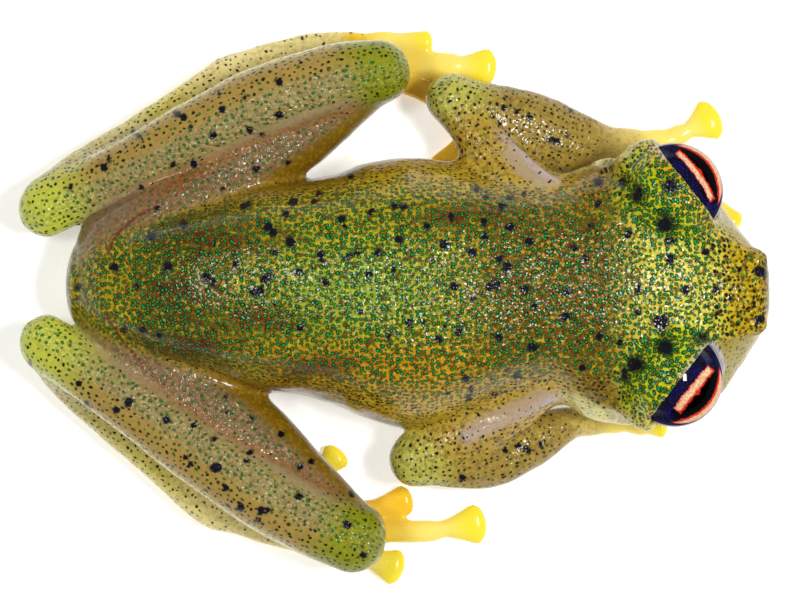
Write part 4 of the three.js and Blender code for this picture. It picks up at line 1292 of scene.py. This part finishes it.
def paint_arms(survey, look):
    """Colour and markings of the arms, and the thin skin that spans each armpit."""
    upper = survey.kind("upper_arm")
    fore = survey.kind("forearm")
    t = survey.pick(1, "forearm")
    bend = smooth_step(survey.pick(1, "upper_arm"), 0.6, 0.95)
    palm = smooth_step(survey.pick(1, "palm"), 0.0, 0.8)
    for share, tone in (
            (upper, layered("upper_arm", ("elbow", bend))),
            (fore, layered("forearm", ("elbow", fall(t, 0.06, 0.24)),
                           ("wrist", smooth_step(t, 0.7, 1.0)))),
            (survey.kind("hand"), layered("wrist", ("digit", palm))),
            (survey.kind("flap"), GROUND["membrane_edge"])):
        lay(look, share, ground=tone)
    middle = np.minimum(*(line_distance(FLAP_MIDDLES[side], survey.points) for side, _ in SIDES))
    thin = fall(middle, 0.15, 0.5) * (upper + survey.kind("trunk")) * (survey.points[:, 2] > 3.0)
    tint(look, "membrane", thin * 0.75)
    for name in ("dots", "spots", "flecks", "net"):
        look[name] *= 1 - thin * 0.85
    # How much the arm faces up: there the dots' emerald cores on the upper arm are painted brighter,
    # as painted light
    top = smooth_step(survey.up, 0.5, 0.9)
    lay(look, upper * (1 - thin), spots=0.8, green=0.3 * top, flecks=0.14, net=0.6,
        grain=0.8 * top)
    lay(look, fore, spots=0.75 - 0.6 * smooth_step(t, 0.5, 0.9), green=0.15, flecks=0.1,
        net=0.35, grain=0.6 * top)


def paint_digits(survey, look):
    """Fingers and toes, brighter towards their discs, and the webs. The third toe of each foot runs
    beneath the others, and painted shade gives it the web's darker orange."""
    for name in survey.names:
        if name.startswith(("toe", "finger")):
            t = survey.measures[name][1]
            # Painted shade: the third toe, lying beneath the others, takes the web's darker orange
            beneath_shade = np.full(len(t), 0.8 if name.startswith("toe2") else 0.0)
            lay(look, survey.share[name], ground=layered(
                "toe_root" if name.startswith("toe") else "digit",
                ("digit", smooth_step(t, 0.1, 0.45)), ("tip", smooth_step(t, 0.72, 0.95)),
                ("web", beneath_shade)))
    lay(look, survey.kind("web"), ground=GROUND["web"])


def charts(survey, quads):
    """For each face corner, its place on the form that is nearest to the whole face, so that no
    face spans two forms. Across a limb's underside the place runs on past a full turn."""
    chosen = survey.distances[:, quads].sum(axis=2).argmin(axis=0)[:, None]
    columns = [np.stack([survey.measures[name][column] for name in survey.names])[chosen, quads]
               for column in (2, 4, 5)]
    along, across, turn = columns
    spans = (across.max(axis=1) - across.min(axis=1))[:, None] > turn / 2
    across = across + np.where(spans & (across < 0), turn, 0.0)
    places = [along + chosen * CHART_STEP, across, np.zeros_like(along)]
    return np.stack(places, axis=2).reshape(-1, 3)


def paint_skin(piece, points, normals, quads):
    """Works out, at every point, the ground colour and how strongly each marking shows."""
    survey = Survey(points, normals)
    look = {name: np.zeros(len(points)) for name in (
        "dots", "spots", "green", "flecks", "brown", "net", "grain", "shade")}
    look["ground"] = np.zeros((len(points), 3))
    paint_trunk(survey, look)
    paint_legs(survey, look)
    paint_arms(survey, look)
    paint_digits(survey, look)
    look["ground"] = np.column_stack([look["ground"], np.ones(len(points))])
    look["mark"] = np.ones(len(points))
    for marks, kinds in ((HEAD_MARKS, ("trunk", "lid")), (BACK_MARKS, ("trunk", "lid")),
                         (LIMB_MARKS, ("thigh", "shank", "tarsus", "upper_arm", "forearm"))):
        facing = survey.kind(*kinds) * smooth_step(survey.up, 0.0, 0.2)
        aside = points[:, None, :2] - marks[:, :2]
        away = (np.hypot(aside[..., 0], aside[..., 1]) - marks[:, 2]).min(axis=1)
        look["mark"] = np.minimum(look["mark"], np.minimum(away, 0.5) + (1 - facing))
    vein = np.minimum(*(line_distance(path, points) for path in VEINS))
    look["vein"] = np.minimum(vein, 0.5) + fall(survey.up, 0.0, 0.2)
    for name, values in look.items():
        carry(piece, name, values)
    carry(piece, "lie", charts(survey, quads), "CORNER")


def dot_tone(paint, lie, size, low, high, amount, green):
    """Round dots about size apart, dark with an emerald core: their mask and their colour. Their
    radius runs from low to high, in cells, and those that the amount doesn't reach are left out. The
    core's emerald is painted light: it shows bright where the last input, the share of light on the
    place, is high, and stays dark elsewhere."""
    near = paint.cells(lie, size, 0.7)
    own = paint.cells(lie, size, 0.7, out="Color")
    radius = (paint.channel(own, 0) * (high - low) + low) * (amount * 0.4 + 0.6)
    kept = paint.step(amount * 1.6 - paint.channel(own, 1), 0.0, 0.12)
    mask = paint.step(near - radius, 0.11, -0.09) * kept
    core = paint.step(near - radius * 0.45, 0.13, -0.11)
    # Painted light: the core turns bright emerald only where the place's share of light is high
    lit = paint.step(green - paint.channel(own, 2) * 0.7, 0.0, 0.3)
    hue = paint.mix(paint.channel(own, 1), srgb(0, 158, 84), srgb(46, 162, 30))
    return mask, paint.mix(core * lit * 0.95, srgb(10, 26, 2), hue)


def skin_material():
    """Ground colour with a fine net of brown and yellow, small dots on the body and wider set ones on
    the limbs, whose emerald cores are painted brighter where the light falls, blue-black marks,
    maroon patches, and a grainy wet surface."""
    paint = Paint("moist skin")
    lie = paint.vector("lie")
    place = paint.scaled(paint.node("ShaderNodeTexCoord", out="Object"), 1000.0)
    bent = paint.stir(paint.stir(lie, place, 0.8, 0.3), place, 0.13, 0.07)

    net = paint.value("net")
    fine = paint.noise(place, 0.16, 2.0)
    other = paint.noise(paint.shifted(place, (31.0, 7.0, 3.0)), 0.2, 2.0)
    tone = paint.colour("ground")
    tone = paint.mix(paint.step(fine, 0.48, 0.66) * net * 0.6, tone, srgb(208, 190, 44))
    tone = paint.mix(paint.step(other, 0.46, 0.62) * net * 0.85, tone, srgb(74, 46, 8))
    cloud = paint.noise(place, 0.9, 3.0)
    patch = paint.step(cloud, 0.32, 0.5) * paint.value("brown") * 0.85
    tone = paint.mix(patch, tone, srgb(84, 18, 0))

    green = paint.value("green")
    for mask, dot in (dot_tone(paint, bent, 0.2, 0.26, 0.46, paint.value("dots"), green),
                      dot_tone(paint, bent, 0.275, 0.15, 0.26, paint.value("spots"), green)):
        tone = paint.mix(mask, tone, dot)

    vein = paint.step(paint.value("vein") + (fine - 0.5) * 0.1, 0.1, 0.02)
    tone = paint.mix(vein * 0.8, tone, srgb(104, 30, 18))
    edge = paint.sway(place, 0.3, 1.0, 0.2) + paint.sway(place, 0.1, 1.0, 0.12)
    shade = paint.value("shade")
    halo = paint.step(paint.value("mark") + edge * 2.4, shade * 0.26 + 0.12, 0.0)
    tone = paint.mix(halo * (shade * 0.5 + 0.35), tone, srgb(3, 30, 10))
    mark = paint.step(paint.value("mark") + edge, 0.06, -0.01)
    stray = paint.cells(place, 0.95, 1.0, flat=False)
    fate = paint.cells(place, 0.95, 1.0, out="Color", flat=False)
    kept = paint.step(paint.value("flecks") - paint.channel(fate, 0), 0.0, 0.05)
    speck = paint.step(stray - paint.channel(fate, 1) * 0.1 - 0.08 + edge * 0.5, 0.03, -0.02) * kept
    tone = paint.mix(mark.above(speck), tone, srgb(6, 7, 24))

    lumps = paint.noise(place, 0.45, 3.0)
    grain = paint.cells(paint.stir(place, place, 0.22, 0.16), 0.19, 1.0, flat=False)
    rough = paint.step(paint.noise(place, 0.9, 1.0), 0.3, 0.6) * 0.6 + 0.5
    height = (lumps * 1.2 - grain * grain * rough) * (paint.value("grain") * 0.9 + 0.1)
    bump = paint.node("ShaderNodeBump", {},
                      {"Strength": 1.0, "Distance": 0.00005, "Height": height})
    return paint.finish(Base_Color=tone, Roughness=0.15, Normal=bump, Specular_IOR_Level=0.3)


def build_skin():
    """The melted forms' surface, moved along its normals by smooth noise, except near the floor."""
    low = np.min([form.low for form in FORMS.values()], axis=0) + MARGIN / 2
    high = np.max([form.high for form in FORMS.values()], axis=0) - MARGIN / 2
    points, quads = zero_surface(low, high, CELL)
    points = settle(points)
    normals = point_normals(points, quads)
    ripple = sum(lattice_noise(points, size, seed) * depth for size, seed, depth in RIPPLES)
    lifted = smooth_step(points[:, 2], 0.1, 0.5)
    points = points + normals * (ripple * lifted)[:, None]
    points[:, 2] = np.maximum(points[:, 2], 0.0)
    normals = point_normals(points, quads)
    skin = show("skin", array_mesh("skin", points, quads), skin_material())
    paint_skin(skin, points, normals, quads)
    return skin


# Eyes

def ball_grid(centre, axes, radius, rings, steps):
    """A ball about its front axis: turned by angle p from the front and angle q round it, a point
    is centre + radius (front cos p + (side cos q + up sin q) sin p). Both poles are one point."""
    p = np.linspace(0.0, np.pi, rings + 1)[1:-1, None]
    q = np.linspace(0.0, 2 * np.pi, steps, endpoint=False)[None, :]
    local = np.stack([np.cos(p) + 0 * q, np.sin(p) * np.cos(q), np.sin(p) * np.sin(q)], axis=-1)
    local = np.concatenate([[[1.0, 0.0, 0.0]], local.reshape(-1, 3), [[-1.0, 0.0, 0.0]]])
    points = centre + radius * local @ axes
    ring = np.arange(rings - 2)[:, None] * steps
    now = np.arange(steps)[None, :]
    after = (now + 1) % steps
    quads = np.stack([1 + ring + now, 1 + ring + steps + now,
                      1 + ring + steps + after, 1 + ring + after], axis=-1).reshape(-1, 4)
    last = len(points) - 1
    start = last - steps
    first_fan = np.stack([np.zeros(steps, int), 1 + now[0], 1 + after[0]], axis=1)
    last_fan = np.stack([np.full(steps, last), start + after[0], start + now[0]], axis=1)
    return points, local, quads, np.concatenate([first_fan, last_fan])


# How high each eye's front points, and its pale bar: rise, half width, middle and reach across, all
# in degrees. On the bar's own scale its half width is BAR_HALF and its reach BAR_REACH.
PUPIL_RISE = {"left": np.radians(42.0), "right": np.radians(46.0)}
BARS = {"left": (12.4, 4.7, 0.0, 38.0), "right": (18.4, 6.2, 4.0, 34.5)}
BAR_HALF = 5.5
BAR_REACH = 38.0
PUPIL_REACH = 46.0
CRESCENT_REACH = 50.0


def eye_material():
    """Indigo with a few pale specks, a ragged cream bar with red edges above a black pupil, a cream
    crescent with a red inner edge below it, and a pale lilac outline at the eye's own widest line,
    which is painted light: the white floor seen through the eye's clear edge.
    Places are in degrees round the eye's front. Gloss is strongest at the top."""
    paint = Paint("eye")
    place = paint.vector("place")
    across = paint.value("across")
    ragged = paint.sway(place, 5.0, 3.0, 5.4) + paint.sway(place, 1.6, 2.0, 3.4)
    rise = paint.value("rise") + across * 0.06
    along_bar = paint.value("along_bar") * BAR_REACH
    bar = paint.value("bar") * BAR_HALF + across * 0.06 + along_bar * along_bar * 0.0055
    bend = across * across / BAR_REACH ** 2
    crescent = rise + 23.4 - bend * 10.0
    cloud = paint.noise(place, 9.0, 3.0)
    specks = paint.cells(place, 2.2, 1.0)
    tone = paint.mix(paint.step(cloud, 0.35, 0.7), srgb(1, 0, 16), srgb(8, 3, 62))
    tone = paint.mix(paint.step(specks, 0.2, 0.1) * 0.35, tone, srgb(74, 70, 150))

    pupil = (paint.step(bar, -1.5, -3.0) * paint.step(crescent, 8.0, 10.0)
             * paint.step(across.size() + ragged, PUPIL_REACH, PUPIL_REACH - 4.0))
    tone = paint.mix(pupil, tone, srgb(0, 0, 1))
    crescent_half = 10.6 - (across / PUPIL_REACH) ** 4 * 8.5
    net = paint.step(paint.noise(place, 2.4, 3.0), 0.4, 0.6)
    cream = paint.mix(net * 0.7, srgb(240, 204, 160), srgb(206, 138, 92))
    notch = paint.step(along_bar.size(), 7.0, 1.0) * paint.step(bar, 0.0, -4.0) * 2.6
    for band, half, ends, red in (
            (bar, notch + BAR_HALF, BAR_REACH - along_bar.size(),
             paint.step(bar, 3.0, -5.0) * 1.9 + notch),
            (crescent, crescent_half, CRESCENT_REACH - across.size(),
             paint.step(crescent, -4.0, 6.0) * 4.2)):
        edge = half - band.size() + ragged
        inside = edge.below((ends + ragged) * 0.7)
        tone = paint.mix(paint.step(inside, -0.9, 0.3) * 0.95, tone, srgb(208, 44, 32))
        tone = paint.mix(paint.step(inside - red, -0.6, 2.6), tone, cream)
    # Painted light: the white floor seen through the eye's clear edge, as a pale lilac outline low on
    # the ball
    outline = paint.step(paint.value("height"), 15.5, 10.0) * 0.85
    tone = paint.mix(outline, tone, srgb(206, 200, 226))
    wet = paint.step(rise, 6.0, 26.0) * 0.9 + 0.08
    return paint.finish(Base_Color=tone, Roughness=0.5, Specular_IOR_Level=0.0, Coat_Weight=wet,
                        Coat_Roughness=0.06, Coat_IOR=1.34)


def build_eye(side, sign, material):
    """A ball whose pole is the eye's front, with places on it in degrees for its material."""
    centre, gaze = eye_frame(sign)
    tilt = PUPIL_RISE[side]
    front = gaze * np.cos(tilt) + np.array([0.0, 0.0, np.sin(tilt)])
    beside = np.cross([0.0, 0.0, 1.0], gaze)
    axes = np.stack([front, beside, np.cross(front, beside)])
    points, local, quads, fans = ball_grid(centre, axes, EYE_RADIUS, EYE_RINGS, EYE_STEPS)
    mesh = bpy.data.meshes.new(f"eye_{side}")
    mesh.from_pydata((points * MM).tolist(), [], [*quads.tolist(), *fans.tolist()])
    piece = show(f"eyeball_{side}", mesh, material)
    across = np.degrees(np.arctan2(local[:, 1], local[:, 0]))
    rise = np.degrees(np.arcsin(np.clip(local[:, 2], -1, 1)))
    level = np.clip((points[:, 2] - centre[2]) / EYE_RADIUS, -1, 1)
    bar_rise, bar_half, bar_middle, bar_reach = BARS[side]
    for name, values in {
        "across": across, "rise": rise, "place": np.degrees(local),
        "height": np.degrees(np.arcsin(level)), "bar": (rise - bar_rise) / bar_half,
        "along_bar": (across - bar_middle) / bar_reach,
    }.items():
        carry(piece, name, values)
    return piece


def build_floor():
    mesh = bpy.data.meshes.new("floor")
    corners = ((-1, -1), (1, -1), (1, 1), (-1, 1))
    mesh.from_pydata([(x * FLOOR_REACH, y * FLOOR_REACH, -FLOOR_DROP) for x, y in corners], [],
                     [(0, 1, 2, 3)])
    paint = Paint("pale floor")
    show("floor", mesh, paint.finish(
        Base_Color=srgb(250, 250, 250), Roughness=0.8, Emission_Color=(1.0, 1.0, 1.0, 1.0),
        Emission_Strength=FLOOR_GLOW))


set_camera()
set_light()
build_floor()

skin = build_skin()
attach(skin, "root")
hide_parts("torso", "head", *(f"{part}_{side}" for side, _ in SIDES for part in (
    "shank", "thigh", "tarsus", "foot", "upper_arm", "forearm", "hand")))
eye_paint = eye_material()
for side, sign in SIDES:
    eyeball = build_eye(side, sign, eye_paint)
    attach(eyeball, "root")
    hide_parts(f"eye_{side}")
